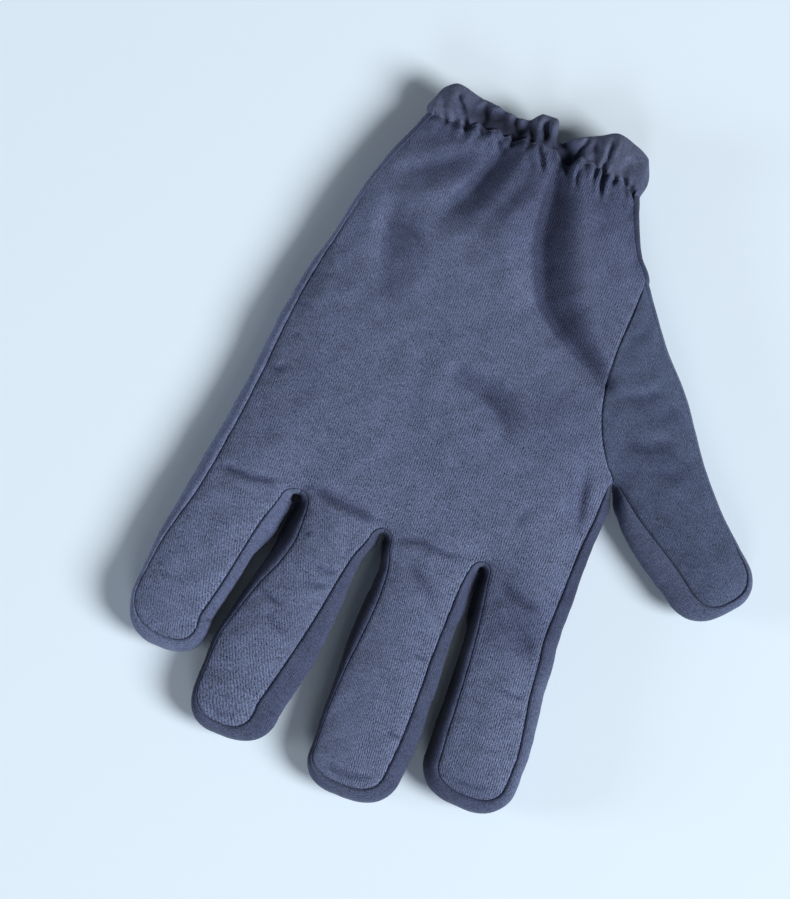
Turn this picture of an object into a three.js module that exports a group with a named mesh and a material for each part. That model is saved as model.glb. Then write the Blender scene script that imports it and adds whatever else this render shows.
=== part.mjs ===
// A thin work glove of blue twill for the left hand, lying on its back with the palm up.
// The palm panel carries the fronts of four fingers, the thumb has a set-in front of its own, and the back is
// one piece. A side strip runs round each finger between front and back, so the fingers are boxed and hollow.
// An elastic line gathers the wrist, and the hem past it stands out as a ruffle, with a dark lining inside.
import * as THREE from "three";

// Sizes in millimetres, in the cutting pattern's frame: X runs from the thumb side to the little finger, Y
// from the cuff to the fingertips, Z up from the surface that the glove lies on.
const WALL = 1.6; // shell cloth with its backing
const MOST_MITRE = 1.5; // limits how far a corner is drawn in
const SEAM_GAP = 0.3; // a cut piece ends this far short of its neighbour
const LINING_WALL = 1;
const LINING_GAP = 0.4; // between the shell's inner face and the lining
const CORNER_INSET = 0.6; // the cuff's inner faces draw in at the side seams by this share of their depth
const ELASTIC_Y = 8; // the gathered line across the wrist
const BACK_SEAM_HEIGHT = 2.6; // lower seam of the side strips above the surface
const BACK_ROLL = 7; // the back panel comes down to the surface over this distance from its seam
const BACK_LIFT = 1; // the elastic draws the back up this far, in waves WAVE_PITCH apart
const BACK_LIFT_RUN = 5; // and the waves fade out over this distance
const WAVE_PITCH = 8.7;
const LEAST_LIFT = 0.02; // anything lower lies flat
const PATTERN_ORIGIN = new THREE.Vector3(-25.8, 114.2, 0); // under the middle of the bounding box

// How many pieces each stretch is divided into.
const CUFF_COLUMNS = 40;
const FINGER_COLUMNS = 5;
const BACK_CUFF_COLUMNS = 24;
const BACK_FINGER_COLUMNS = 3;
const STRIP_STEPS = 4;
const TIP_ANGLES = [28, 52, 70];
const CROTCH_ANGLES = [35, 65, 90];
const BODY_STEPS = 5;
const GATHERED_ROWS = [8, 10.5, 14, 19, 26];
const PALM_ROWS = [35, 43, 52, 62, 72, 82, 91, 98, 103, 105, 109, 116, 126, 136, 145.5];

// The palm panel's two edges. Between THUMB_SEAM_START and THUMB_CROTCH the left edge is the thumb's seam. A
// bulge is how far the side strip stands out past the seam, seen from above.
const THUMB_SEAM_START = 35;
const THUMB_CROTCH = 103;
const PALM_EDGES = [
  { y: 8, left: -36.4, leftBulge: 2.4, right: 38.6, rightBulge: 2.6 },
  { y: 14, left: -38.6, leftBulge: 2.3, right: 40.8, rightBulge: 2.5 },
  { y: 20, left: -41.4, leftBulge: 2.1, right: 43.2, rightBulge: 2.4 },
  { y: 27, left: -45.3, leftBulge: 1.9, right: 46.0, rightBulge: 2.2 },
  { y: 35, left: -51.2, leftBulge: 1.7, right: 48.6, rightBulge: 2.1 },
  { y: 45, left: -51.2, leftBulge: 1.3, right: 50.8, rightBulge: 2.0 },
  { y: 58, left: -50.8, leftBulge: 1.3, right: 53.2, rightBulge: 2.1 },
  { y: 70, left: -51.4, leftBulge: 1.3, right: 55.5, rightBulge: 2.6 },
  { y: 80, left: -53.1, leftBulge: 1.3, right: 57.0, rightBulge: 3.1 },
  { y: 90, left: -57.0, leftBulge: 1.3, right: 58.0, rightBulge: 3.5 },
  { y: 98, left: -62.2, leftBulge: 1.0, right: 58.6, rightBulge: 3.6 },
  { y: 103, left: -66.4, leftBulge: 0.5, right: 58.9, rightBulge: 3.7 },
  { y: 105, left: -65.5, leftBulge: 0.9, right: 59.0, rightBulge: 3.7 },
  { y: 109, left: -65.4, leftBulge: 2.0, right: 59.2, rightBulge: 3.8 },
  { y: 116, left: -65.3, leftBulge: 3.4, right: 59.8, rightBulge: 3.9 },
  { y: 126, left: -64.6, leftBulge: 4.1, right: 60.6, rightBulge: 4.1 },
  { y: 136, left: -64.4, leftBulge: 4.3, right: 61.7, rightBulge: 4.4 },
  { y: 146, left: -64.5, leftBulge: 4.6, right: 62.8, rightBulge: 4.6 },
];

// Where two fingers part.
const CROTCHES = [
  { x: -36.0, y: 144.6 },
  { x: 0.2, y: 146.8 },
  { x: 32.0, y: 145.2 },
];
const CROTCH_BULGE = 0.6;
const CROTCH_HEIGHT = 4.5; // the round end of the gap between two fingers
const ROWS_BEND_FROM = 40; // the palm's rows turn from even columns towards the crotches from here
const ROWS_LIFT_FROM = 116; // and from straight lines towards the crotch line from here
const TIP_POWER = 2 / 2.6; // the roundness of the fingertips, 1 being an ellipse

// The seams of each finger front, and the bulge of the strip on each side. tipY is the far end of the seam.
const FINGERS = [
  {
    name: "index", tipY: 221, tipReach: 9, tipBulge: 4.8, tipLean: 0,
    rows: [
      { y: 145, left: -64.5, leftBulge: 4.6, right: -38.6, rightBulge: 1.4 },
      { y: 152, left: -64.4, leftBulge: 4.9, right: -39.8, rightBulge: 2.2 },
      { y: 160, left: -64.4, leftBulge: 5.2, right: -41.3, rightBulge: 3.0 },
      { y: 170, left: -65.8, leftBulge: 5.1, right: -42.8, rightBulge: 3.6 },
      { y: 182, left: -67.2, leftBulge: 4.9, right: -44.2, rightBulge: 4.2 },
      { y: 192, left: -69.2, leftBulge: 4.4, right: -45.0, rightBulge: 4.5 },
      { y: 205, left: -71.0, leftBulge: 4.0, right: -46.0, rightBulge: 5.0 },
      { y: 213, left: -71.0, leftBulge: 4.0, right: -46.9, rightBulge: 5.3 },
    ],
  },
  {
    name: "middle", tipY: 233.2, tipReach: 8.5, tipBulge: 4.4, tipLean: 0.6,
    rows: [
      { y: 145, left: -33.0, leftBulge: 1.2, right: -2.6, rightBulge: 1.0 },
      { y: 152, left: -31.4, leftBulge: 2.2, right: -3.9, rightBulge: 1.6 },
      { y: 160, left: -31.0, leftBulge: 3.4, right: -6.2, rightBulge: 3.2 },
      { y: 170, left: -31.0, leftBulge: 4.4, right: -6.9, rightBulge: 4.4 },
      { y: 182, left: -31.1, leftBulge: 5.0, right: -6.4, rightBulge: 4.1 },
      { y: 195, left: -31.7, leftBulge: 5.4, right: -5.4, rightBulge: 2.8 },
      { y: 210, left: -32.0, leftBulge: 5.9, right: -5.0, rightBulge: 1.6 },
      { y: 225, left: -31.2, leftBulge: 6.0, right: -5.8, rightBulge: 1.5 },
    ],
  },
  {
    name: "ring", tipY: 229.6, tipReach: 10.5, tipBulge: 3.8, tipLean: -0.6,
    rows: [
      { y: 145, left: 2.6, leftBulge: 0.9, right: 28.6, rightBulge: 1.4 },
      { y: 152, left: 4.2, leftBulge: 1.6, right: 27.3, rightBulge: 2.8 },
      { y: 160, left: 7.0, leftBulge: 3.3, right: 27.0, rightBulge: 4.6 },
      { y: 170, left: 8.8, leftBulge: 4.8, right: 29.0, rightBulge: 4.9 },
      { y: 180, left: 10.3, leftBulge: 6.2, right: 33.0, rightBulge: 3.4 },
      { y: 190, left: 12.0, leftBulge: 7.2, right: 36.0, rightBulge: 2.3 },
      { y: 204, left: 14.9, leftBulge: 8.3, right: 39.1, rightBulge: 1.7 },
      { y: 219, left: 18.3, leftBulge: 8.6, right: 39.2, rightBulge: 1.6 },
    ],
  },
  {
    name: "little", tipY: 209.2, tipReach: 11, tipBulge: 4.4, tipLean: -2.2,
    rows: [
      { y: 145, left: 36.6, leftBulge: 1.0, right: 62.8, rightBulge: 4.6 },
      { y: 152, left: 38.2, leftBulge: 1.8, right: 63.7, rightBulge: 4.5 },
      { y: 160, left: 40.6, leftBulge: 3.4, right: 65.1, rightBulge: 4.2 },
      { y: 170, left: 42.5, leftBulge: 3.9, right: 67.6, rightBulge: 3.2 },
      { y: 180, left: 44.2, leftBulge: 4.0, right: 69.7, rightBulge: 2.2 },
      { y: 190, left: 46.1, leftBulge: 4.2, right: 70.7, rightBulge: 1.7 },
      { y: 198, left: 47.9, leftBulge: 4.4, right: 71.3, rightBulge: 1.6 },
    ],
  },
];

// The thumb's outer edge against the height on its palm seam, from the seam's start to the crotch.
const THUMB_ROOT = [
  { y: 35, outerX: -51.2, outerY: 35, bulge: 1.7 },
  { y: 45, outerX: -60.2, outerY: 46.4, bulge: 1.4 },
  { y: 55, outerX: -67.6, outerY: 55.6, bulge: 1.3 },
  { y: 65, outerX: -74.6, outerY: 62.5, bulge: 1.3 },
  { y: 75, outerX: -80.6, outerY: 69.7, bulge: 1.3 },
  { y: 85, outerX: -86.1, outerY: 77.4, bulge: 1.3 },
  { y: 95, outerX: -91.6, outerY: 84.8, bulge: 1.3 },
  { y: 103, outerX: -95.9, outerY: 90.0, bulge: 1.3 },
];

// The free part of the thumb: its outer and inner seams at each station past the crotch.
const THUMB = {
  tipReach: 12.2,
  tipBulge: 3.2,
  rows: [
    { at: 0, outerX: -95.9, outerY: 90.0, outerBulge: 1.3, innerX: -66.4, innerY: 103.0, innerBulge: 0.5 },
    { at: 0.4, outerX: -97.3, outerY: 91.6, outerBulge: 1.3, innerX: -68.3, innerY: 103.2, innerBulge: 0.8 },
    { at: 1, outerX: -99.2, outerY: 93.7, outerBulge: 1.3, innerX: -70.9, innerY: 104.8, innerBulge: 2.0 },
    { at: 2, outerX: -103.0, outerY: 97.9, outerBulge: 1.3, innerX: -79.5, innerY: 111.2, innerBulge: 7.0 },
    { at: 3, outerX: -108.0, outerY: 102.6, outerBulge: 1.4, innerX: -89.5, innerY: 117.2, innerBulge: 8.8 },
    { at: 4, outerX: -112.6, outerY: 106.6, outerBulge: 1.5, innerX: -97.5, innerY: 122.1, innerBulge: 9.0 },
    { at: 5, outerX: -116.0, outerY: 109.8, outerBulge: 1.7, innerX: -103.0, innerY: 126.0, innerBulge: 8.4 },
  ],
};
const THUMB_STATIONS = [0.4, 1, 2, 3, 4, 5];

// Height of the front seam above the surface, and how much the front rises inside it.
const HEIGHTS = [
  { y: 8, seam: 12.4, crown: 3.2, dome: 0 },
  { y: 13, seam: 12.9, crown: 4, dome: 0.8 },
  { y: 30, seam: 12.2, crown: 3.8, dome: 3.2 },
  { y: 50, seam: 12.6, crown: 3.9, dome: 3.8 },
  { y: 72, seam: 11.7, crown: 4.0, dome: 4.2 },
  { y: 92, seam: 12.3, crown: 3.9, dome: 4.0 },
  { y: 112, seam: 11.7, crown: 3.8, dome: 3.2 },
  { y: 138, seam: 12.4, crown: 3.8, dome: 2.0 },
  { y: 165, seam: 12.8, crown: 4.2, dome: 0 },
  { y: 182, seam: 12.1, crown: 4.2, dome: 0 },
  { y: 198, seam: 12.6, crown: 4.3, dome: 0 },
  { y: 215, seam: 11.8, crown: 4.1, dome: 0 },
  { y: 235, seam: 10.8, crown: 3.9, dome: 0 },
];
const CROWN_RUN = 6; // the crown builds up over this distance from the seam
const DOME_RUN = 42; // and the palm's dome over this one
const SEAM_HOLD = 4; // folds and puckers fade out this near to the seam

// Puckers drawn in by the elastic in the front: each a valley from its place on the elastic line, which
// widens, leans and fades with the height above it.
const PUCKERS = [
  { x: -34.0, depth: 1.1, width: 1.9, length: 7, lean: -0.3 },
  { x: -28.5, depth: 1.2, width: 1.7, length: 8, lean: -0.2 },
  { x: -23.6, depth: 1.9, width: 2.0, length: 13, lean: -0.25 },
  { x: -16.8, depth: 1.3, width: 1.8, length: 10, lean: -0.1 },
  { x: -3.6, depth: 1.6, width: 1.8, length: 10, lean: -0.15 },
  { x: 1.0, depth: 1.0, width: 1.5, length: 8, lean: 0 },
  { x: 5.2, depth: 1.2, width: 1.6, length: 10, lean: 0.15 },
  { x: 13.6, depth: 1.3, width: 1.6, length: 8, lean: -0.3 },
  { x: 17.4, depth: 1.0, width: 1.5, length: 8, lean: 0 },
  { x: 21.4, depth: 1.1, width: 1.6, length: 8, lean: 0.1 },
  { x: 25.8, depth: 1.2, width: 1.6, length: 8, lean: 0.1 },
  { x: 31.0, depth: 0.9, width: 1.7, length: 7, lean: 0.3 },
];

// Folds and dents in the front, each a valley along its points. near is the width of its slope on the left of
// the way it runs, far the width on the right.
const FOLDS = [
  { depth: 3.2, near: 8.5, far: 3.4, points: [[-11.6, 6], [-10.6, 27], [-15.5, 44], [-24, 56], [-50, 71]] },
  { depth: 2.1, near: 6.5, far: 3.2, points: [[8.4, 6], [10.6, 18], [14.5, 30], [21, 42]] },
  { depth: 0.9, near: 5, far: 7, points: [[-34, 99], [-16, 93], [-3, 90]] },
  { depth: 0.9, near: 4, far: 4, points: [[24, 22], [34, 29], [45, 33]] },
  { depth: 0.9, near: 2.6, far: 2.6, points: [[1, 146], [12, 142.6], [32, 143.4]] },
  { depth: 0.8, near: 2.4, far: 2.4, points: [[33, 144], [50, 147.4], [62, 146.6]] },
  { depth: 1.0, near: 2.2, far: 2.6, points: [[-63.5, 124], [-58.6, 114], [-56.4, 104]] },
  { depth: 1.1, near: 5, far: 4, points: [[-97, 95], [-84, 88], [-74, 86]] },
  { depth: 1.0, near: 4, far: 4, points: [[-86, 75], [-74, 73], [-62, 76]] },
];
const FOLD_FADE = 7; // a fold runs out over this distance at each end

// The rim of the ruffle against the place on the elastic line, over the front and under the back.
const RIM_FRONT = [
  { x: -38.8, y: -1.2, z: 8.4 },
  { x: -36, y: -5.6, z: 12.2 },
  { x: -30, y: -8.0, z: 14.0 },
  { x: -24.5, y: -9.2, z: 14.6 },
  { x: -17.5, y: -6.2, z: 12.6 },
  { x: -11, y: -2.6, z: 13.2 },
  { x: -5.2, y: 0.8, z: 12.0 },
  { x: 1, y: 0.4, z: 12.4 },
  { x: 7, y: -0.8, z: 11.8 },
  { x: 18, y: -2.6, z: 13.6 },
  { x: 25, y: -3.4, z: 12.4 },
  { x: 34, y: -4.9, z: 13.6 },
  { x: 38.2, y: -2.4, z: 11.6 },
  { x: 41.2, y: 3.6, z: 8.4 },
];
const RIM_BACK = [
  { x: -38.8, y: -1.2, z: 5.4 },
  { x: -35, y: -3.6, z: 0.5 },
  { x: -26, y: -4.4, z: 1.0 },
  { x: -17, y: -3.8, z: 0.2 },
  { x: -9, y: -3.0, z: 1.0 },
  { x: -4, y: -4.8, z: 0.3 },
  { x: 0, y: -5.8, z: 0.9 },
  { x: 4, y: -4.6, z: 0.4 },
  { x: 8, y: -0.4, z: 1.0 },
  { x: 17, y: 0.2, z: 0.2 },
  { x: 26, y: -0.8, z: 1.0 },
  { x: 36, y: -0.6, z: 0.5 },
  { x: 41.2, y: 3.6, z: 5.4 },
];
const RUFFLE_PUFF = 1.3; // the hem swells this much between the elastic and the rim

const clamp = THREE.MathUtils.clamp;
const lerp = THREE.MathUtils.lerp;
const radians = THREE.MathUtils.degToRad;

// A smooth curve through one column of a table, which never overshoots its rows.
function through(rows, key, column) {
  const x = rows.map((row) => row[key]);
  const v = rows.map((row) => row[column]);
  const last = x.length - 1;
  const rise = [];
  for (let i = 0; i < last; i++) rise.push((v[i + 1] - v[i]) / (x[i + 1] - x[i]));
  const slope = x.map((_, i) => {
    if (i === 0) return rise[0];
    if (i === last) return rise[last - 1];
    const turns = rise[i - 1] * rise[i] <= 0;
    return turns ? 0 : (2 * rise[i - 1] * rise[i]) / (rise[i - 1] + rise[i]);
  });
  return (at) => {
    const p = clamp(at, x[0], x[last]);
    let i = 0;
    while (i < last - 1 && p > x[i + 1]) i++;
    const h = x[i + 1] - x[i];
    const s = (p - x[i]) / h;
    const s2 = s * s;
    const s3 = s2 * s;
    return (
      v[i] * (2 * s3 - 3 * s2 + 1) +
      v[i + 1] * (3 * s2 - 2 * s3) +
      h * slope[i] * (s3 - 2 * s2 + s) +
      h * slope[i + 1] * (s3 - s2)
    );
  };
}

function columns(rows, key, names) {
  return Object.fromEntries(names.map((name) => [name, through(rows, key, name)]));
}

const palmEdge = columns(PALM_EDGES, "y", ["left", "leftBulge", "right", "rightBulge"]);
const thumbRoot = columns(THUMB_ROOT, "y", ["outerX", "outerY", "bulge"]);
const height = columns(HEIGHTS, "y", ["seam", "crown", "dome"]);

const point = (x, y, bulge) => ({ x, y, bulge });

// The rounded end of a finger front, from one shoulder (0 degrees) over the tip (90) to the other (180).
function tipPoint(left, right, reach, lean, tipBulge, degrees) {
  const a = radians(degrees);
  const across = Math.sign(Math.cos(a)) * Math.abs(Math.cos(a)) ** TIP_POWER;
  const along = Math.sin(a) ** TIP_POWER;
  const middle = { x: (left.x + right.x) / 2, y: (left.y + right.y) / 2 };
  const half = { x: (left.x - right.x) / 2, y: (left.y - right.y) / 2 };
  const width = Math.hypot(half.x, half.y);
  const ahead = { x: half.y / width, y: -half.x / width };
  const side = degrees < 90 ? left.bulge : right.bulge;
  return point(
    middle.x + half.x * across + (ahead.x * reach + lean) * along,
    middle.y + half.y * across + ahead.y * reach * along,
    lerp(side, tipBulge, Math.sin(a) ** 2),
  );
}

// One side of a finger from its crotch, or from the palm's edge, up to the shoulder of the tip.
function fingerSide(finger, side, crotch) {
  const x = through(finger.rows, "y", side);
  const bulge = through(finger.rows, "y", side + "Bulge");
  const shoulder = finger.tipY - finger.tipReach;
  const base = crotch ? crotch.y : CROTCHES[1].y;
  const start = base + CROTCH_HEIGHT;
  const foot = CROTCH_ANGLES.map((degrees) => {
    const a = radians(degrees);
    const y = base + CROTCH_HEIGHT * (1 - Math.cos(a));
    if (!crotch) return point(x(y), y, bulge(y));
    return point(
      crotch.x + (x(start) - crotch.x) * Math.sin(a),
      y,
      lerp(CROTCH_BULGE, bulge(start), Math.sin(a) ** 2),
    );
  });
  const body = [];
  for (let i = 1; i <= BODY_STEPS; i++) {
    const y = lerp(start, shoulder, i / BODY_STEPS);
    body.push(point(x(y), y, bulge(y)));
  }
  return [...foot, ...body];
}

// The rows of a fingertip past its shoulder: pairs of ends, then the last row over the tip point by point.
function tipRows(left, right, reach, lean, tipBulge) {
  const at = (degrees) => tipPoint(left, right, reach, lean, tipBulge, degrees);
  const pairs = TIP_ANGLES.slice(0, -1).map((degrees) => [at(degrees), at(180 - degrees)]);
  const end = TIP_ANGLES[TIP_ANGLES.length - 1];
  const over = [];
  for (let i = 0; i <= FINGER_COLUMNS; i++) over.push(at(lerp(end, 180 - end, i / FINGER_COLUMNS)));
  return { pairs, over };
}

// A finger's rows from the crotch line to the tip, in the same form.
function fingerRows(finger, number) {
  const left = fingerSide(finger, "left", CROTCHES[number - 1]);
  const right = fingerSide(finger, "right", CROTCHES[number]);
  const pairs = left.map((end, i) => [end, right[i]]);
  const shoulder = pairs[pairs.length - 1];
  const tip = tipRows(...shoulder, finger.tipReach, finger.tipLean, finger.tipBulge);
  return { pairs: [...pairs, ...tip.pairs], over: tip.over };
}

function thumbRows() {
  const names = ["outerX", "outerY", "outerBulge", "innerX", "innerY", "innerBulge"];
  const at = columns(THUMB.rows, "at", names);
  const pairs = THUMB_STATIONS.map((s) => [
    point(at.outerX(s), at.outerY(s), at.outerBulge(s)),
    point(at.innerX(s), at.innerY(s), at.innerBulge(s)),
  ]);
  const shoulder = pairs[pairs.length - 1];
  const tip = tipRows(...shoulder, THUMB.tipReach, 0, THUMB.tipBulge);
  return { pairs: [...pairs, ...tip.pairs], over: tip.over };
}

const fingers = FINGERS.map(fingerRows);
const thumb = thumbRows();
const crotchPoints = CROTCHES.map((c) => point(c.x, c.y, CROTCH_BULGE));
const leftEdge = (y) => point(palmEdge.left(y), y, palmEdge.leftBulge(y));
const rightEdge = (y) => point(palmEdge.right(y), y, palmEdge.rightBulge(y));
const thumbOuter = (y) => point(thumbRoot.outerX(y), thumbRoot.outerY(y), thumbRoot.bulge(y));
const handRows = [...GATHERED_ROWS, ...PALM_ROWS];
const rootRows = PALM_ROWS.filter((y) => y > THUMB_SEAM_START && y <= THUMB_CROTCH);

// The seam up a finger's right side, over its tip and down its left side.
function roundFinger({ pairs, over }) {
  const right = pairs.map((pair) => pair[1]);
  const left = pairs.map((pair) => pair[0]);
  return [...right, ...[...over].reverse(), ...left.reverse()];
}

// The seam between front and side strips, once round the glove from the little finger side of the cuff to its
// thumb side, in the stretches that the side strips cover.
const seamStretches = {
  strip_little: [...handRows.map(rightEdge), ...roundFinger(fingers[3]), crotchPoints[2]],
  strip_ring: [crotchPoints[2], ...roundFinger(fingers[2]), crotchPoints[1]],
  strip_middle: [crotchPoints[1], ...roundFinger(fingers[1]), crotchPoints[0]],
  strip_index: [
    crotchPoints[0],
    ...roundFinger(fingers[0]),
    ...handRows.filter((y) => y >= THUMB_CROTCH).map(leftEdge).reverse(),
  ],
  strip_thumb: [
    leftEdge(THUMB_CROTCH),
    ...roundFinger(thumb),
    ...rootRows.map(thumbOuter).reverse(),
    ...handRows.filter((y) => y <= THUMB_SEAM_START).map(leftEdge).reverse(),
  ],
};
const outline = Object.values(seamStretches).flat();

// Distance from a point to the seam outline.
function toOutline(x, y) {
  let nearest = Infinity;
  for (let i = 0; i + 1 < outline.length; i++) {
    const a = outline[i];
    const b = outline[i + 1];
    const dx = b.x - a.x;
    const dy = b.y - a.y;
    const length2 = dx * dx + dy * dy || 1;
    const t = clamp(((x - a.x) * dx + (y - a.y) * dy) / length2, 0, 1);
    nearest = Math.min(nearest, Math.hypot(x - a.x - t * dx, y - a.y - t * dy));
  }
  return nearest;
}

function puckerDepth(x, y) {
  const rise = Math.max(0, y - ELASTIC_Y);
  let sum = 0;
  for (const p of PUCKERS) {
    const spread = p.width * (1 + rise / p.length);
    const across = (x - p.x - p.lean * rise) / spread;
    sum += p.depth * Math.exp(-across * across) * Math.exp(-((rise / p.length) ** 2));
  }
  return sum;
}

// How deep one fold is at a point: the nearest place on its line decides the side and the fade.
function foldDepth(fold, x, y) {
  let best = { distance: Infinity, side: 1, along: 0 };
  let travelled = 0;
  for (let i = 0; i + 1 < fold.points.length; i++) {
    const [ax, ay] = fold.points[i];
    const [bx, by] = fold.points[i + 1];
    const length = Math.hypot(bx - ax, by - ay);
    const ux = (bx - ax) / length;
    const uy = (by - ay) / length;
    const t = clamp((x - ax) * ux + (y - ay) * uy, 0, length);
    const dx = x - ax - t * ux;
    const dy = y - ay - t * uy;
    const distance = Math.hypot(dx, dy);
    const side = ux * dy - uy * dx;
    if (distance < best.distance) best = { distance, side, along: travelled + t };
    travelled += length;
  }
  const width = best.side > 0 ? fold.near : fold.far;
  const atEnd = Math.min(1, (travelled - best.along) / FOLD_FADE);
  const atStart = Math.min(1, best.along / FOLD_FADE + (fold.points[0][1] < ELASTIC_Y ? 1 : 0));
  return fold.depth * atEnd * atStart * Math.exp(-((best.distance / width) ** 2));
}

// Height of the front's outer face.
function frontHeight(x, y) {
  const d = toOutline(x, y);
  const crown = height.crown(y) * (1 - Math.exp(-d / CROWN_RUN));
  const dome = height.dome(y) * (1 - (1 - Math.min(1, d / DOME_RUN)) ** 2);
  const free = 1 - Math.exp(-((d / SEAM_HOLD) ** 2));
  const folds = FOLDS.reduce((sum, fold) => sum + foldDepth(fold, x, y), 0);
  return height.seam(y) + crown + dome - free * (puckerDepth(x, y) + folds);
}

// Height of the back's outer face: flat on the surface, but for its rolled edge and the draw of the elastic.
function backHeight(x, y) {
  const rolled = Math.max(0, 1 - toOutline(x, y) / BACK_ROLL);
  const drawn = BACK_LIFT * Math.exp(-(((y - ELASTIC_Y) / BACK_LIFT_RUN) ** 2));
  const waves = 0.5 + 0.5 * Math.cos((2 * Math.PI * x) / WAVE_PITCH);
  const lifted = drawn * waves > LEAST_LIFT ? drawn * waves : 0;
  return Math.max(BACK_SEAM_HEIGHT * rolled * rolled, lifted);
}

// The evenly spaced points of a row between two ends.
function between(a, b, pieces) {
  const row = [];
  for (let i = 0; i <= pieces; i++) {
    const share = i / pieces;
    row.push({ x: lerp(a.x, b.x, share), y: lerp(a.y, b.y, share) });
  }
  return row;
}

// A palm row bends towards the crotch line as it nears it, so that its quarters end in the crotches.
function palmRow(y, pieces) {
  const left = leftEdge(y);
  const right = rightEdge(y);
  const top = PALM_ROWS[PALM_ROWS.length - 1];
  const bend = clamp((y - ROWS_BEND_FROM) / (top - ROWS_BEND_FROM), 0, 1);
  const lift = clamp((y - ROWS_LIFT_FROM) / (top - ROWS_LIFT_FROM), 0, 1) ** 2;
  const topLeft = leftEdge(top);
  const topRight = rightEdge(top);
  const stops = [topLeft, ...crotchPoints, topRight];
  return between(left, right, pieces).map((p, i) => {
    const u = (i / pieces) * 4;
    const quarter = Math.min(3, Math.floor(u));
    const stop = lerp(stops[quarter].x, stops[quarter + 1].x, u - quarter);
    const stopY = lerp(stops[quarter].y, stops[quarter + 1].y, u - quarter);
    const share = (stop - topLeft.x) / (topRight.x - topLeft.x);
    return { x: lerp(p.x, lerp(left.x, right.x, share), bend), y: y + lift * (stopY - top) };
  });
}

// An open surface as vertices and triangles. Rows may differ in their number of points.
class Sheet {
  constructor() {
    this.points = [];
    this.faces = [];
    this.known = new Map();
  }

  add(x, y, z) {
    const key = [x, y, z].map((v) => v.toFixed(4)).join();
    if (!this.known.has(key)) {
      this.known.set(key, this.points.length);
      this.points.push(new THREE.Vector3(x, y, z));
    }
    return this.known.get(key);
  }

  face(a, b, c) {
    if (a !== b && b !== c && a !== c) this.faces.push([a, b, c]);
  }

  // Fills between a near row and the next row on its left-hand side.
  zip(near, far) {
    let i = 0;
    let j = 0;
    const n = near.length - 1;
    const m = far.length - 1;
    while (i < n || j < m) {
      const stepNear = j === m || (i < n && (i + 1) * m <= (j + 1) * n);
      if (stepNear) this.face(near[i], near[++i], far[j]);
      else this.face(near[i], far[j + 1], far[j++]);
    }
  }

  zipAll(rows) {
    for (let i = 0; i + 1 < rows.length; i++) this.zip(rows[i], rows[i + 1]);
  }

  // The edges that only one triangle has.
  rim() {
    const seen = new Set(this.faces.flatMap(([a, b, c]) => [`${a},${b}`, `${b},${c}`, `${c},${a}`]));
    const edges = [];
    for (const edge of seen) {
      const [a, b] = edge.split(",").map(Number);
      if (!seen.has(`${b},${a}`)) edges.push([a, b]);
    }
    return edges;
  }

  // Draws the rim in by a gap, seen in plan. inward is 1 where the sheet faces up and -1 where it faces down.
  drawIn(gap, inward) {
    const push = this.points.map(() => []);
    for (const [a, b] of this.rim()) {
      const from = this.points[a];
      const to = this.points[b];
      const across = new THREE.Vector2(from.y - to.y, to.x - from.x).setLength(inward);
      push[a].push(across);
      push[b].push(across);
    }
    push.forEach((normals, i) => {
      if (normals.length < 2) return;
      const sum = normals[0].clone().add(normals[1]);
      const mitre = clamp(2 / sum.lengthSq(), 0.5, MOST_MITRE);
      this.points[i].x += sum.x * gap * mitre;
      this.points[i].y += sum.y * gap * mitre;
    });
  }

  // Closes the sheet into a wall: offsets gives each point's step to the inner face.
  thicken(offsets) {
    const count = this.points.length;
    const all = [...this.points, ...this.points.map((p, i) => p.clone().add(offsets[i]))];
    const faces = [...this.faces, ...this.faces.map(([a, b, c]) => [c + count, b + count, a + count])];
    for (const [a, b] of this.rim()) faces.push([b, a, a + count], [b, a + count, b + count]);
    const geometry = new THREE.BufferGeometry().setFromPoints(all);
    geometry.setIndex(faces.flat());
    return geometry;
  }
}

const cloth = new THREE.MeshStandardMaterial({ color: 0x4d5a7c, roughness: 0.85, metalness: 0 });
const stripCloth = new THREE.MeshStandardMaterial({ color: 0x48557a, roughness: 0.85, metalness: 0 });
const hemCloth = new THREE.MeshStandardMaterial({ color: 0x46526f, roughness: 0.85, metalness: 0 });
const liningCloth = new THREE.MeshStandardMaterial({ color: 0x1a1b20, roughness: 0.7, metalness: 0 });

const glove = new THREE.Group();

function addPiece(name, geometry, material) {
  geometry.computeVertexNormals();
  const mesh = new THREE.Mesh(geometry, material);
  mesh.name = name;
  mesh.position.copy(PATTERN_ORIGIN).negate();
  glove.add(mesh);
}

// Fills in the palm with its four fingers.
function layHand(sheet, heightAt, cuffColumns, perFinger) {
  const place = (row) => row.map((p) => sheet.add(p.x, p.y, heightAt(p.x, p.y)));
  const rows = handRows.map((y) => palmRow(y, y < THUMB_SEAM_START ? cuffColumns : 4 * perFinger));
  const placed = rows.map(place);
  sheet.zipAll(placed);
  const top = placed[placed.length - 1];
  fingers.forEach(({ pairs, over }, number) => {
    const first = top.slice(number * perFinger, (number + 1) * perFinger + 1);
    const body = pairs.map(([a, b]) => place(between(a, b, perFinger)));
    sheet.zipAll([first, ...body, place(over)]);
  });
}

// Fills in the thumb from the point where its seam leaves the side of the hand.
function layThumb(sheet, heightAt, columnCount) {
  const place = (row) => row.map((p) => sheet.add(p.x, p.y, heightAt(p.x, p.y)));
  const start = place([leftEdge(THUMB_SEAM_START)]);
  const root = rootRows.map((y) => place(between(thumbOuter(y), leftEdge(y), columnCount)));
  const free = thumb.pairs.map(([a, b]) => place(between(a, b, columnCount)));
  sheet.zipAll([start, ...root, ...free, place(thumb.over)]);
}

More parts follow.
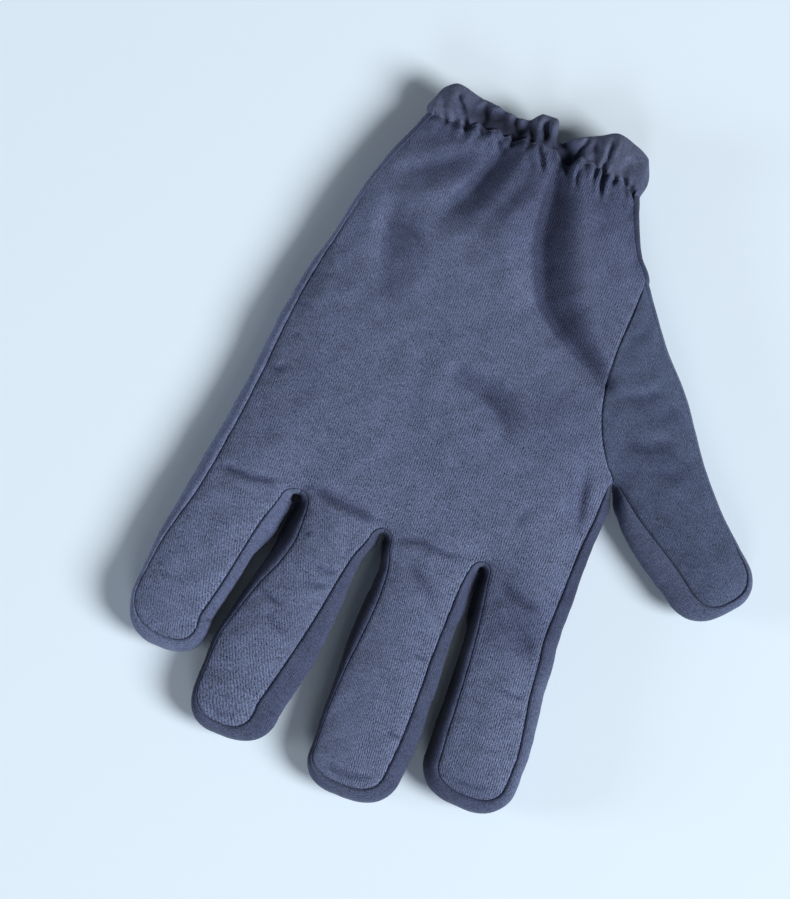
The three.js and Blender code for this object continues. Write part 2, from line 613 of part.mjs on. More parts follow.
function palmPanel() {
  const sheet = new Sheet();
  layHand(sheet, frontHeight, CUFF_COLUMNS, FINGER_COLUMNS);
  sheet.drawIn(SEAM_GAP, 1);
  return sheet.thicken(sheet.points.map(() => new THREE.Vector3(0, 0, -WALL)));
}

function thumbPanel() {
  const sheet = new Sheet();
  layThumb(sheet, frontHeight, FINGER_COLUMNS);
  sheet.drawIn(SEAM_GAP, 1);
  return sheet.thicken(sheet.points.map(() => new THREE.Vector3(0, 0, -WALL)));
}

function backPanel() {
  const sheet = new Sheet();
  layHand(sheet, backHeight, BACK_CUFF_COLUMNS, BACK_FINGER_COLUMNS);
  layThumb(sheet, backHeight, BACK_FINGER_COLUMNS);
  sheet.faces = sheet.faces.map(([a, b, c]) => [c, b, a]);
  sheet.drawIn(SEAM_GAP, -1);
  return sheet.thicken(sheet.points.map(() => new THREE.Vector3(0, 0, WALL)));
}

// A side strip's section at one seam point: from the front seam (0) round the bulge to the back seam (1). A
// section at a depth inside the outer face starts and ends at the seam, or inset from it.
function stripPoint(seamPoint, normal, share, depth, inset = 0) {
  const angle = share * Math.PI;
  const top = height.seam(seamPoint.y);
  const middle = (top + BACK_SEAM_HEIGHT) / 2;
  const half = (top - BACK_SEAM_HEIGHT) / 2;
  const out = (seamPoint.bulge + inset - depth) * Math.sin(angle) - inset;
  return new THREE.Vector3(
    seamPoint.x + normal.x * out,
    seamPoint.y + normal.y * out,
    middle + (half - depth) * Math.cos(angle),
  );
}

// The seam's outward normal and direction where it runs from one point to another.
function outwardAt(before, after) {
  const t = new THREE.Vector2(after.x - before.x, after.y - before.y).normalize();
  return { x: t.y, y: -t.x, along: t };
}

// The points before and after a seam point on the whole outline.
function neighbours(seamPoint) {
  const same = (p) => Math.hypot(p.x - seamPoint.x, p.y - seamPoint.y) < 1e-6;
  const first = outline.findIndex(same);
  const last = outline.findLastIndex(same);
  return [outline[Math.max(0, first - 1)], outline[Math.min(outline.length - 1, last + 1)]];
}

function sideStrip(stretch) {
  const sheet = new Sheet();
  const offsets = [];
  const rows = stretch.map((seamPoint, i) => {
    const normal = outwardAt(...neighbours(seamPoint));
    const end = i === 0 ? 1 : i === stretch.length - 1 ? -1 : 0;
    const shift = normal.along.clone().multiplyScalar((end * SEAM_GAP) / 2);
    const row = [];
    for (let j = 0; j <= STRIP_STEPS; j++) {
      const outer = stripPoint(seamPoint, normal, j / STRIP_STEPS, 0);
      const inner = stripPoint(seamPoint, normal, j / STRIP_STEPS, WALL);
      const id = sheet.add(outer.x + shift.x, outer.y + shift.y, outer.z);
      offsets[id] = inner.sub(outer);
      row.push(id);
    }
    return row;
  });
  sheet.zipAll(rows);
  return sheet.thicken(offsets);
}

// The wrist as a closed loop of points at one height on the hand, a given depth inside the outer face.
function wristLoop(y, depth) {
  const left = leftEdge(y);
  const right = rightEdge(y);
  const inset = depth * CORNER_INSET;
  const middle = (left.x + right.x) / 2;
  const narrowing = 1 - (2 * inset) / (right.x - left.x);
  const narrowed = (x) => middle + (x - middle) * narrowing;
  const row = (pieces) => palmRow(y, pieces).map((p) => new THREE.Vector2(narrowed(p.x), p.y));
  const nextLeft = leftEdge(y + 1);
  const nextRight = rightEdge(y + 1);
  const side = (edge, normal, j) => stripPoint(edge, normal, j / STRIP_STEPS, depth, inset);
  const loop = row(CUFF_COLUMNS).map((p) => new THREE.Vector3(p.x, p.y, frontHeight(p.x, p.y) - depth));
  for (let j = 1; j < STRIP_STEPS; j++) loop.push(side(right, outwardAt(right, nextRight), j));
  for (const p of row(BACK_CUFF_COLUMNS).reverse()) {
    loop.push(new THREE.Vector3(p.x, p.y, backHeight(p.x, p.y) + depth));
  }
  for (let j = STRIP_STEPS - 1; j > 0; j--) loop.push(side(left, outwardAt(nextLeft, left), j));
  return loop;
}

// How far round the side of the wrist loop a point is: 0 along the front, 1 along the back.
function sideShare(loopIndex) {
  const endStart = CUFF_COLUMNS + 1;
  const backStart = endStart + STRIP_STEPS - 1;
  const backEnd = backStart + BACK_CUFF_COLUMNS;
  if (loopIndex < endStart) return 0;
  if (loopIndex < backStart) return (loopIndex - endStart + 1) / STRIP_STEPS;
  if (loopIndex <= backEnd) return 1;
  return 1 - (loopIndex - backEnd) / STRIP_STEPS;
}

// The ruffle at a share t of its way from the elastic to the rim, a given depth inside its outer face.
const rimFront = columns(RIM_FRONT, "x", ["y", "z"]);
const rimBack = columns(RIM_BACK, "x", ["y", "z"]);
function ruffleLoop(t, depth) {
  const elastic = wristLoop(ELASTIC_Y, 0);
  const inner = wristLoop(ELASTIC_Y, depth);
  return elastic.map((p, i) => {
    const share = sideShare(i);
    const puff = share === 0 ? RUFFLE_PUFF * Math.sin(Math.PI * t) : 0;
    const rimY = lerp(rimFront.y(p.x), rimBack.y(p.x), share);
    const rimZ = lerp(rimFront.z(p.x), rimBack.z(p.x), share);
    const at = new THREE.Vector3(p.x, lerp(p.y, rimY, t), Math.max(0, lerp(p.z, rimZ, t) + puff));
    return at.add(inner[i]).sub(p);
  });
}

// A closed wall through loops of points, each given as a function of its depth inside the outer face.
function ringWall(loops, depth, wall) {
  const sheet = new Sheet();
  const offsets = [];
  const rows = loops.map((loopAt) => {
    const inner = loopAt(depth + wall);
    const row = loopAt(depth).map((p, i) => {
      const id = sheet.add(p.x, p.y, p.z);
      offsets[id] = inner[i].clone().sub(p);
      return id;
    });
    return [...row, row[0]];
  });
  sheet.zipAll(rows);
  return sheet.thicken(offsets);
}

// The ruffle runs from its rim to the elastic. The lining starts inside the rim and goes on past the elastic.
const ruffleStations = [1, 0.64, 0.28, 0].map((t) => (depth) => ruffleLoop(t, depth));
const liningStations = [
  ...[0.9, 0.45, 0].map((t) => (depth) => ruffleLoop(t, depth)),
  ...GATHERED_ROWS.slice(1, 4).map((y) => (depth) => wristLoop(y, depth)),
];

addPiece("palm_panel", palmPanel(), cloth);
addPiece("thumb_panel", thumbPanel(), cloth);
addPiece("back_panel", backPanel(), cloth);
for (const [name, stretch] of Object.entries(seamStretches)) {
  addPiece(name, sideStrip(stretch), stripCloth);
}
addPiece("cuff_ruffle", ringWall(ruffleStations, 0, WALL), hemCloth);
addPiece("cuff_lining", ringWall(liningStations, WALL + LINING_GAP, LINING_WALL), liningCloth);

export default glove;
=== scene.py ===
# A thin work glove of blue twill for the left hand, lying palm up on a pale floor.
import math

import bpy
import numpy as np
from mathutils import Matrix, Vector
from mathutils.kdtree import KDTree


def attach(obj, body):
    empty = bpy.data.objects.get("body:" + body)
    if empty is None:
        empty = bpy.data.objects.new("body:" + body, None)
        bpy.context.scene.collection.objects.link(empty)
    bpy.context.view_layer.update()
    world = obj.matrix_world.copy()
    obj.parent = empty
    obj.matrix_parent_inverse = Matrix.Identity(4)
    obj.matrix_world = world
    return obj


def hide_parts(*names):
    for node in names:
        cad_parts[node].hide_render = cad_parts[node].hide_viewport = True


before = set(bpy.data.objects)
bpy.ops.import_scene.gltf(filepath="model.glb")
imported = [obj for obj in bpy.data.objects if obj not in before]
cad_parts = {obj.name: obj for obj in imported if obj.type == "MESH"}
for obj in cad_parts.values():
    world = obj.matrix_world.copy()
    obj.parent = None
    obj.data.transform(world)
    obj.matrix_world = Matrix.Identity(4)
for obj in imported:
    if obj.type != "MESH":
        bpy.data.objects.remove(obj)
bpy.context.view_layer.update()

# Sizes in millimetres in the cutting pattern's frame: X from the thumb side to the little finger, Y from the
# cuff to the fingertips, Z up from the floor. The part's own frame starts at PATTERN_ORIGIN.
PATTERN_ORIGIN = np.array([-25.8, 114.2, 0.0])
WALL = 1.6  # shell cloth with its backing
LINING_WALL = 1.0
LINING_GAP = 0.4
CORNER_INSET = 0.6  # the cuff's inner faces draw in at the side seams by this share of their depth
ELASTIC_Y = 8.0
BACK_SEAM_HEIGHT = 2.6
BACK_ROLL = 7.0
BACK_LIFT = 1.0
BACK_LIFT_RUN = 5.0
WAVE_PITCH = 8.7
THUMB_SEAM_START = 35.0
THUMB_CROTCH = 103.0
PALM_TOP = 145.5
CROTCH_BULGE = 1.8
CROTCH_HEIGHT = 4.5
ROWS_BEND_FROM = 40.0
ROWS_LIFT_FROM = 116.0
TIP_POWER = 2 / 2.6
CROWN_RUN = 6.0
DOME_RUN = 42.0
SEAM_HOLD = 4.0
RUFFLE_PUFF = 1.3

# How finely the cloth is divided.
FINGER_COLUMNS = 34
BACK_FINGER_COLUMNS = 12
EDGE_GRADING = 0.62
PALM_GRADING = 0.4
ROWS_A_MM = 1.6  # along the fingers
SECTION_STEPS = 20
ROW_STOPS = [(8, 14, 13), (14, 30, 20), (30, 35, 5), (35, 103, 68), (103, 145.5, 43)]
FOOT_ANGLES = np.arange(10, 91, 10.0)
TIP_ANGLES = np.array([5, 10, 16, 22, 28, 34, 40, 46, 52, 58, 64, 70, 75, 80, 84.0])
THUMB_STEPS = 52
THUMB_SEAM_STEPS = 140
RUFFLE_STEPS = 18
RUFFLE_GRADING = 1.15
RIM_TURNS = (82, 62, 42, 20)  # degrees round the rim's edge
LINING_SHARES = (0.9, 0.8, 0.68, 0.56, 0.44, 0.32, 0.2, 0.1, 0)  # of the way to the rim
LINING_ROWS = (8.4, 24)

# What the finished cloth shows over the plain forms.
FLOOR_CLEARANCE = 0.02
SEAM_GROOVE = 0.62
SEAM_GROOVE_WIDTH = 0.42
SEAM_FREE = 3.0  # this far from a seam the cloth lies as it likes
SEAM_PUCKER = 0.42
SEAM_PUCKER_RUN = (0.9, 3.4)  # puckers set in and fade out
LITTLE_SEAM_SHOWS = (40, 58)  # from the first row on, and fully from the second
THUMB_SEAM_SHOWS = (12, 22)  # above the thumb seam's start, along the thumb
THUMB_END_SHOWS = (110, 115)
THUMB_SLOPE = 1.154
THUMB_SEAM_X = -51.0
SEAM_HIDDEN = 3.0  # where the cloth rolls over the seam, it is shaded as if the seam were further off
CROWN_SHARE = 0.62  # the worn cloth stands less round over the fingers than the plain form
FOLD_CORE = 0.8  # the bottom of a fold is rounded by this
FOLD_RIDGE = 0.14  # and its edge, as a share of the flank
FOLD_POWER = 1.45  # of the flank towards the light
CREASE_RIDGE = (0.4, 1.9, 1.1)  # the ridges beside a crease: height, place and width, in its depth and width
CREASE_ENDS = (-0.05, 0.31)  # a crease fades between these shares of its length, from either end
CREASE_HELD = 0.5  # the elastic holds its creases flatter where it runs
CREASE_HELD_RUN = 4.0
PUCKER_SHARE = 0.5
GATHER_RUN = 5.5
GATHER_HEIGHT = 0.55
GATHER_SUNK = 0.25
ELASTIC_GROOVE = 1.4
ELASTIC_GROOVE_WIDTH = 1.3
ELASTIC_RUN = 8.0  # the hand's cloth is drawn towards the rim up to here
SIDE_GROOVE = 0.1
STRIP_FREE = 1.2
STRIP_LIP = (0.15, 2.2, 1.6)  # the fuller cloth beside the front seam: height, place and width
STRIP_LIP_BULGE = 4.0  # where the strip bulges less than this, its lip is flatter
STRIP_WRINKLES = [(0.32, 11, 1.4, 41), (0.14, 3.9, 2, 43)]  # height, run, turns and seed
STRIP_WRINKLE_BULGE = 3.0
BACK_RIM_SHORT = 1.0
RUFFLE_FLARE = 0.9
RUFFLE_SETS_IN = 1.6
RUFFLE_FRONT = 0.25  # the front's form is gone by this share of the way to the back
RUFFLE_FINE_RUN = 2.0
RUFFLE_SINK_ENDS = (4.5, 9)
RUFFLE_LEAST_HEIGHT = 8.6
RIM_CALM = 0.8  # the rim itself hardly creases
RIM_CALM_FROM = 0.6

# Painted shade: how much darker the cloth is painted in its folds, puckers and creases, low between the
# fingers and in the ruffle, as shares, and from which depth to which it darkens.
FOLD_SHADE = 0.52
FOLD_SHADE_DEPTH = 5.6
FOLD_SHADE_RUN = (0.45, 1.05)
SHADE_RIGHT_SHARE = 0.3  # the flank that faces the light is hardly darker
PUCKER_SHADE = 0.6
PUCKER_SHADE_DEPTH = (0.3, 6.4)
CUFF_CREASE_SHARE = 0.6
CREASE_SHADE = 0.35
CREASE_SHADE_DEPTH = (0.05, 0.7)
BETWEEN_SHADE = (0.3, 0.6)
BETWEEN_X = [(-60, -52), (50, 58)]  # where the strips run between the fingers
BETWEEN_Y = (143, 150)
BETWEEN_TIP = 0.8  # the painted shade between the fingers lifts again over the fingertips
BETWEEN_TURN = (-0.1, 0.35)
HEM_SHADE = 0.6
HEM_SHADE_DEPTH = (0.3, 4.5)
HEM_BY_SEAM = (0.8, 0.64)  # the strips by the cuff get the same painted shade as the panel beside them
STRIP_EVEN = (16, 62)


# Curves and noise
def through(x, v):
    """A smooth curve through a table's column, which never overshoots its rows."""
    h = np.diff(x)
    rise = np.diff(v) / h
    a, b = rise[:-1], rise[1:]
    slope = np.empty_like(v)
    slope[0], slope[-1] = rise[0], rise[-1]
    total = np.where(a * b > 0, a + b, 1.0)
    slope[1:-1] = np.where(a * b > 0, 2 * a * b / total, 0.0)

    def at(p):
        p = np.clip(p, x[0], x[-1])
        i = np.searchsorted(x[1:-1], p, side="left")
        s = (p - x[i]) / h[i]
        s2, s3 = s * s, s * s * s
        return (
            v[i] * (2 * s3 - 3 * s2 + 1)
            + v[i + 1] * (3 * s2 - 2 * s3)
            + h[i] * slope[i] * (s3 - 2 * s2 + s)
            + h[i] * slope[i + 1] * (s3 - s2)
        )

    return at


def lerp(a, b, t):
    return a + (b - a) * t


def smoothstep(low, high, v):
    t = np.clip((v - low) / (high - low), 0, 1)
    return t * t * (3 - 2 * t)


def bell(v):
    """1 where a value is 0, and less and less to both sides."""
    return np.exp(-(v**2))


def hashed(i, j, seed):
    h = (i.astype(np.int64) * 374761393 + j.astype(np.int64) * 668265263 + seed * 1274126177) & 0xFFFFFFFF
    h = ((h ^ (h >> 13)) * 1274126177) & 0xFFFFFFFF
    h = ((h ^ (h >> 16)) * 2246822519) & 0xFFFFFFFF
    return (h ^ (h >> 15)) / 2**32


def noise(x, y, seed):
    """Smooth noise from about -1 to 1 in cells of size 1, so calls divide millimetres by a cell's size."""
    x, y = np.broadcast_arrays(x, y)
    xi, yi = np.floor(x), np.floor(y)
    fx, fy = x - xi, y - yi
    wx = fx**3 * (fx * (fx * 6 - 15) + 10)
    wy = fy**3 * (fy * (fy * 6 - 15) + 10)

    def corner(i, j):
        turn = 2 * np.pi * hashed(xi + i, yi + j, seed)
        return np.cos(turn) * (fx - i) + np.sin(turn) * (fy - j)

    low = lerp(corner(0, 0), corner(1, 0), wx)
    high = lerp(corner(0, 1), corner(1, 1), wx)
    return 1.5 * lerp(low, high, wy)


# Tables
def rows_of(text):
    """Rows of numbers, which commas part."""
    return [np.array(row.split(), float) for row in text.strip(", \n").split(",")]


def table(names, text):
    """Columns of numbers by name."""
    return dict(zip(names.split(), np.transpose(rows_of(text))))


def curves(names, text):
    """Smooth curves by name, through rows of numbers whose first column says where each row lies."""
    at, *values = np.transpose(rows_of(text))
    return {name: through(at, column) for name, column in zip(names.split()[1:], values)}


SIDES = "y left leftBulge right rightBulge"
palm_edge = curves(SIDES, """
    8 -36.4 2.4 38.6 2.6, 14 -38.6 2.3 40.8 2.5, 20 -41.4 2.1 43.2 2.4, 27 -45.3 1.9 46 2.2,
    35 -51.2 1.7 48.6 2.1, 45 -51.2 1.3 50.8 2, 58 -50.8 1.3 53.2 2.1, 70 -51.4 1.3 55.5 2.6,
    80 -53.1 1.3 57 3.1, 90 -57 1.3 58 3.5, 98 -62.2 1 58.6 3.6, 103 -66.4 0.5 58.9 3.7,
    105 -65.5 0.9 59 3.7, 109 -65.4 2 59.2 3.8, 116 -65.3 3.4 59.8 3.9, 126 -64.6 4.1 60.6 4.1,
    136 -64.4 4.3 61.7 4.4, 146 -64.5 4.6 62.8 4.6,
""")
CROTCHES = np.array([(-36.0, 144.6), (0.2, 146.8), (32.0, 145.2)])
MIDDLE_CROTCH = CROTCHES[1][1]

# The fingers, from the index to the little finger. First where each one ends, how far its tip rounds off, how
# far the side strip bulges at the tip and how far the tip leans, and then their sides.
FINGER_TIPS = rows_of("221 9 4.8 0, 233.2 8.5 4.4 0.6, 229.6 10.5 3.8 -0.6, 209.2 11 4.4 -2.2")
FINGER_SIDES = [table(SIDES, rows) for rows in """
    145 -64.5 4.6 -38.6 1.4, 152 -64.4 4.9 -39.8 2.2, 160 -64.4 5.2 -41.3 3, 170 -65.8 5.1 -42.8 3.6,
    182 -67.2 4.9 -44.2 4.2, 192 -69.2 4.4 -45 4.5, 205 -71 4 -46 5, 213 -71 4 -46.9 5.3,

    145 -33 1.2 -2.6 1, 152 -31.4 2.2 -3.9 1.6, 160 -31 3.4 -6.2 3.2, 170 -31 4.4 -6.9 4.4,
    182 -31.1 5 -6.4 4.1, 195 -31.7 5.4 -5.4 2.8, 210 -32 5.9 -5 1.6, 225 -31.2 6 -5.8 1.5,

    145 2.6 0.9 28.6 1.4, 152 4.2 1.6 27.3 2.8, 160 7 3.3 27 4.6, 170 8.8 4.8 29 4.9, 180 10.3 6.2 33 3.4,
    190 12 7.2 36 2.3, 204 14.9 8.3 39.1 1.7, 219 18.3 8.6 39.2 1.6,

    145 36.6 1 62.8 4.6, 152 38.2 1.8 63.7 4.5, 160 40.6 3.4 65.1 4.2, 170 42.5 3.9 67.6 3.2,
    180 44.2 4 69.7 2.2, 190 46.1 4.2 70.7 1.7, 198 47.9 4.4 71.3 1.6,
""".split("\n\n")]
thumb_root = curves("y outerX outerY bulge", """
    35 -51.2 35 1.7, 45 -60.2 46.4 1.4, 55 -67.6 55.6 1.3, 65 -74.6 62.5 1.3, 75 -80.6 69.7 1.3,
    85 -86.1 77.4 1.3, 95 -91.6 84.8 1.3, 103 -95.9 90 1.3,
""")
THUMB_TIP_REACH = 12.2
THUMB_TIP_BULGE = 3.2
thumb_free = curves("at outerX outerY outerBulge innerX innerY innerBulge", """
    0 -95.9 90 1.3 -66.4 103 0.5, 0.4 -97.3 91.6 1.3 -68.3 103.2 0.8, 1 -99.2 93.7 1.3 -70.9 104.8 2,
    2 -103 97.9 1.3 -79.5 111.2 7, 3 -108 102.6 1.4 -89.5 117.2 8.8, 4 -112.6 106.6 1.5 -97.5 122.1 9,
    5 -116 109.8 1.7 -103 126 8.4,
""")
height = curves("y seam crown dome", """
    8 12.4 3.2 0, 13 12.9 4 0.8, 30 12.2 3.8 3.2, 50 12.6 3.9 3.8, 72 11.7 4 4.2, 92 12.3 3.9 4,
    112 11.7 3.8 3.2, 138 12.4 3.8 2, 165 12.8 4.2 0, 182 12.1 4.2 0, 198 12.6 4.3 0, 215 11.8 4.1 0,
    235 10.8 3.9 0,
""")

# Puckers by the elastic: the place, the depth and the width of each, how far it runs and how it leans.
PUCKERS = rows_of("""
    -34 1.1 1.9 7 -0.3, -28.5 1.2 1.7 8 -0.2, -23.6 1.9 2 13 -0.25, -16.8 1.3 1.8 10 -0.1,
    -3.6 1.6 1.8 10 -0.15, 1 1 1.5 8 0, 5.2 1.2 1.6 10 0.15, 13.6 1.3 1.6 8 -0.3, 17.4 1 1.5 8 0,
    21.4 1.1 1.6 8 0.1, 25.8 1.2 1.6 8 0.1, 31 0.9 1.7 7 0.3,
""")

# Folds and dents as the finished cloth shows them. Each is a valley: places on it, the depth there and how
# far the two flanks reach, left and right of the way it runs.
FOLDS = [np.array(rows_of(fold)) for fold in """
    -8.6 6 2.6 4 4, -9.2 12 4 6 7, -10 18 5.2 9 9, -10.8 24 6 10.5 10, -12 31 6.6 12 12, -14 38 6.6 13 13,
    -17.6 46 6.2 13 13, -21.5 54 5.8 12.5 11, -30 61.2 5.6 10.5 8, -39.4 66.4 4.6 7 6, -50.6 72.6 2.2 4 4,

    9.8 6 1 4 4, 11.2 12 3.6 6 6, 13.4 19 4.4 8 8, 15.8 26 4.6 10 10, 19.6 35 3.2 10 10, 23 42 0.8 8 8,
    26 48 0 6 6,

    -2.5 9 0 4 4, -1.2 14 1.3 4.5 5, 0.2 20 1.8 5 5, 2.8 25 1.5 5 5, 5.6 30 1.4 5 5, 7 36 1.1 5 5,
    10 46 0 5 5,

    13 14 0 5 4, 21 17 2.6 6 5, 26 20.5 3 7 5, 34 26 2.2 8 5, 46 34 0 6 5,

    37 38 0 6 5, 38.5 47 2.2 15 6, 36 55 2.2 14 7, 33 64 1.4 11 8, 29 76 0 8 7,

    1 88 0 3 2.5, -2.5 89 1.8 4.5 2.5, -7.8 90.2 2.7 6 2.5, -14 92 2.9 8 3, -19.4 94.9 2.5 9.5 3,
    -25.5 99.1 1.3 9 3.5, -32 102.5 0 6 4,

    1 147 0 3 3, 10 143.6 1.2 4 3.4, 20 142.4 1.1 4 3.4, 33 144 0 3 3,

    33 143 0 3 3, 44 146.4 0.8 4 3, 58 147 0.9 4 3, 63 146 0 3 3,

    -63 126 0 5 4, -60 117 1.6 6 4, -57.6 109 1.7 6 4, -56 98 0 5 4,

    -98 95 0 5 5, -86 89 1.5 8 7, -79 86.6 1.4 8 7, -72 86 0 5 5,

    -87 76 0 5 5, -76 73 1.4 7 7, -68 73.6 1.2 7 7, -60 77 0 5 5,

    -65 170 0 5 5, -61 165.6 1.3 6 6, -55 161.6 1.1 6 6, -48 158 0 5 5,
""".split("\n\n")]

# Low down in each gap between the fingers the strips bulge and nearly meet, up to the first of these rows,
# and part again by the second. By the thumb they meet on a line from the crotch to where they part.
WEBS = [(162, 170), (148, 160), (160, 174)]
WEB_GAP = 0.5
WEB_SETS_IN = (-0.5, 1)  # above the crotch
WEB_TURN = (0.2, 0.6)  # where on the way round the strip the bulge sets in
THUMB_WEB = np.array([(-66.4, 103.0), (-70.4, 113.2)])
# Painted shade in the thumb's crotch, where the strips meet: the place, how far it reaches both ways, and by
# what share.
THUMB_WEB_SHADE = (-69.2, 108.0, 3.6, 5.5, -0.5)
THUMB_WEB_FAR = 16.0
THUMB_WEB_REACH = 9.0
THUMB_WEB_SETS_IN = 0.12  # as shares of the line
THUMB_WEB_FADES = (0.65, 1.45)

rim_front = curves("x y z", """
    -38.8 -1.2 8.4, -36 -5.6 12.2, -30 -8 14, -24.5 -9.2 14.6, -17.5 -6.2 12.6, -11 -2.6 13.2,
    -5.2 0.8 12, 1 0.4 12.4, 7 -0.8 11.8, 18 -2.6 13.6, 25 -3.4 12.4, 34 -4.9 13.6, 38.2 -2.4 11.6,
    41.2 3.6 8.4,
""")
rim_back = curves("x y z", """
    -38.8 -1.2 5.4, -35 -3.6 0.5, -26 -4.4 1, -17 -3.8 0.2, -9 -3 1, -4 -4.8 0.3, 0 -5.8 0.9, 4 -4.6 0.4,
    8 -0.4 1, 17 0.2 0.2, 26 -0.8 1, 36 -0.6 0.5, 41.2 3.6 5.4,
""")

# Small creases that only the finished cloth has: the depth and the width of each, and then its points.
CREASES = rows_of("""
    0.8 0.7 -32.6 211.5 -29 211.2 -26.4 210.6,
    0.7 0.7 -31.6 183.3 -28 183.2 -23.6 182.6,
    0.3 0.9 -28 200 -21.5 200.4 -12 200,
    0.9 1 23.5 184.6 29.5 182.6 33.8 180.4,
    0.7 1.2 10 171.6 15 174 20.6 173.6,
    0.6 1.2 8 166.4 13.6 168 19 166.8,
    0.3 1.2 7.4 160 10.6 157.6,
    0.3 0.9 12 182.2 16.4 182.6,
    0.35 0.9 23 158.4 26.6 158,
    0.3 1 45 185.4 51 184.2,
    0.65 0.9 -67.2 183.2 -60 183.4 -54 182.6,
    0.4 1.6 -67.4 189.6 -64 186.6,
    0.3 1.5 -70.4 203.6 -67.4 202,
    0.3 2.4 -63 167.4 -57.5 164.4 -54.6 165.6,
    0.8 2.2 -60.5 153.4 -54 152.6 -47 150.8 -41 147,
    0.8 1.3 -3 148.4 -12.6 146.5 -22.3 147.3 -31.6 145.6,
    1.3 1.4 33.4 143.6 25.8 143.2 17.8 144.6 10.3 145 3 146.8,
    0.9 1.2 63.3 147.2 56.8 147.6 48.2 147.4 38.4 144.9,
    0.5 3 -9.5 152.4 -17.5 158.5 -27.8 165.5,
    0.5 2.2 28.2 188.1 23.4 190.7 16.3 194.5,
    0.5 1 26.2 161.2 24.6 158.8 23.1 156.8,
    0.4 1 68.1 187.9 64.6 189.1 59.9 189.8,
    0.35 1.5 -55.4 96.3 -56.7 106.2 -58.4 112.2 -60.1 118.2 -61.3 128,
    0.6 2.4 -56 76.7 -64.8 72.8 -73.5 66.4,
    0.75 2.8 -63 90 -73 88.5 -82.6 81.2,
    0.5 2 -72 95 -80.9 94.2 -90 92.8,
    0.4 1.8 -52.6 57.2 -56.2 53.2 -60 48.2,
    0.5 1.1 38.4 46.8 32.8 47.8 28.3 49.7 24.6 52.6,
    0.3 1.6 -48 118 -42 124 -40 131,
    0.7 1.8 -28.6 226.6 -24 229 -16 229.8 -9 228,
    0.5 1.5 -67 215.4 -60 217.8 -52 216.4,
    0.5 1.5 22 224 29 226.6 36 224,
    0.5 1.4 57 73.2 53.4 73.8 49 72.6,
    0.6 1.2 57.8 86.6 54 85.2 50.6 86.6,
    0.45 1 58.6 96 54.4 96.4 52 95,
    0.65 1.4 59.4 109 55.6 110 51.4 107.2,
    0.5 1.3 60.6 121.4 57 119.4 54 121.6,
""")

# Creases that the elastic draws in the hand's end and in the ruffle, as they lie in the worn cuff.
CUFF_CREASES = rows_of("""
    1.1 0.8 35.6 5.4 33.8 7.6 32.6 9.2,
    1.4 0.9 33.2 -2.4 31.6 -0.4 29.8 1.6 27.6 4.4,
    1.7 0.9 28.2 3.6 27 6 26.2 8.4 26 10.2,
    0.9 0.7 29.2 7.4 26.4 7.8 24.6 7,
    1.2 0.8 22.2 4.6 21 7 20 9.6,
    2.2 0.9 17 3.6 15.8 5.8 14.2 8.4 12.2 11.4,
    1.2 0.8 10.6 3.6 9.8 6.4 9.4 9,
    1.2 0.8 4.6 2.6 3.6 5.4 4.2 8.4,
    2.3 1 0.8 3.4 -0.4 5.8 -2.2 9 -4.4 12.8,
    1.3 0.8 -4.2 1.6 -4.6 4.6 -5.4 7.4,
    2.2 1.1 -9.2 2 -10.6 5.2 -11.6 8.2 -12.8 10.6,
    1.1 0.8 -14.2 3.4 -15 6.6 -16 10.2 -17.6 14.6,
    1.1 0.8 -19.2 2 -21.2 5 -21.6 8.8,
    1.5 0.8 -22.8 0 -23.4 3.6 -24.4 8.2 -26 14.4,
    1.1 0.7 -27 2.8 -28.2 5.2 -28 7.8,
    1.3 0.8 -30.6 2.6 -32 5.2 -33.4 8.8,
    1.1 0.7 -33.4 4.6 -34.8 6.6 -36.4 8.4,
    1.3 1.1 -22 -10 -22.6 -6 -23.2 -2 -23.6 2,
    1.2 1.5 -16 -6.6 -17.8 -3.6 -19.6 0.2 -20.2 3.6,
    0.8 2 -31 -6 -31.8 -2 -30.6 2.2,
    0.9 1.2 -12.4 -1.6 -13 1 -12.6 4,
    2.4 1.1 1.6 -5.2 0.9 -3.2 -0.4 -0.6 -0.8 2.4,
    1.3 0.8 5.4 -0.6 3.8 1.6 2.6 4.2,
    0.9 1.5 20.6 -2 16 0.6 13.4 4.2,
    0.7 1.3 11 0.4 8.6 2.4 7.4 4.8,
    0.6 1.8 24 -2.4 21.6 1 21 4.6,
    0.7 1.2 37.4 -1 36 2 36.4 5,
""")

# How far the elastic line sags towards the rim of the cuff, lobe by lobe.
elastic_sag = curves("x sag", """
    -38.6 0, -36.2 0.4, -34.4 1.5, -32.4 1.6, -30 3.2, -28 2.5, -25.8 3.7, -24.2 2.4, -22.6 5, -21.2 3.9,
    -18.6 4.9, -16.4 4, -14.4 5.2, -12.2 1, -9.6 0.8, -7.2 2.9, -4.6 4.3, -2.4 3.3, 0.4 4.7, 3.4 3.4,
    5.4 4.2, 9.4 1.5, 10.9 3.2, 13 1.9, 15.8 3.5, 19.6 1.5, 22.6 2.9, 25.4 0.5, 27.4 0.7, 30 0.9,
    33.4 0.1, 36 0.5, 41 0,
""")["sag"]

# How deep the ruffle sinks in behind the lobes of the hand, and the lobe that stands out of its rim.
ruffle_sink = curves("x sink", """
    -38 0.3, -32 1.2, -26 1.4, -20 1.4, -15 2.8, -10 4.4, -5 3.8, 0 3, 6 3.6, 12 4.4, 20 4.2, 26 2.4,
    32 0.9, 40 0.2,
""")["sink"]
rim_lobe = curves("x reach rise", """
    -5.4 0 0, -4.6 0.6 0.2, -4 3.4 1.2, -3.3 5.6 2, -2.2 6.8 2.2, 0.8 6.5 1.4, 3.2 5.9 1.8, 5 3.8 1.4,
    7.2 1.5 0.5, 10.5 0.5 0.2, 15 0 0,
""")
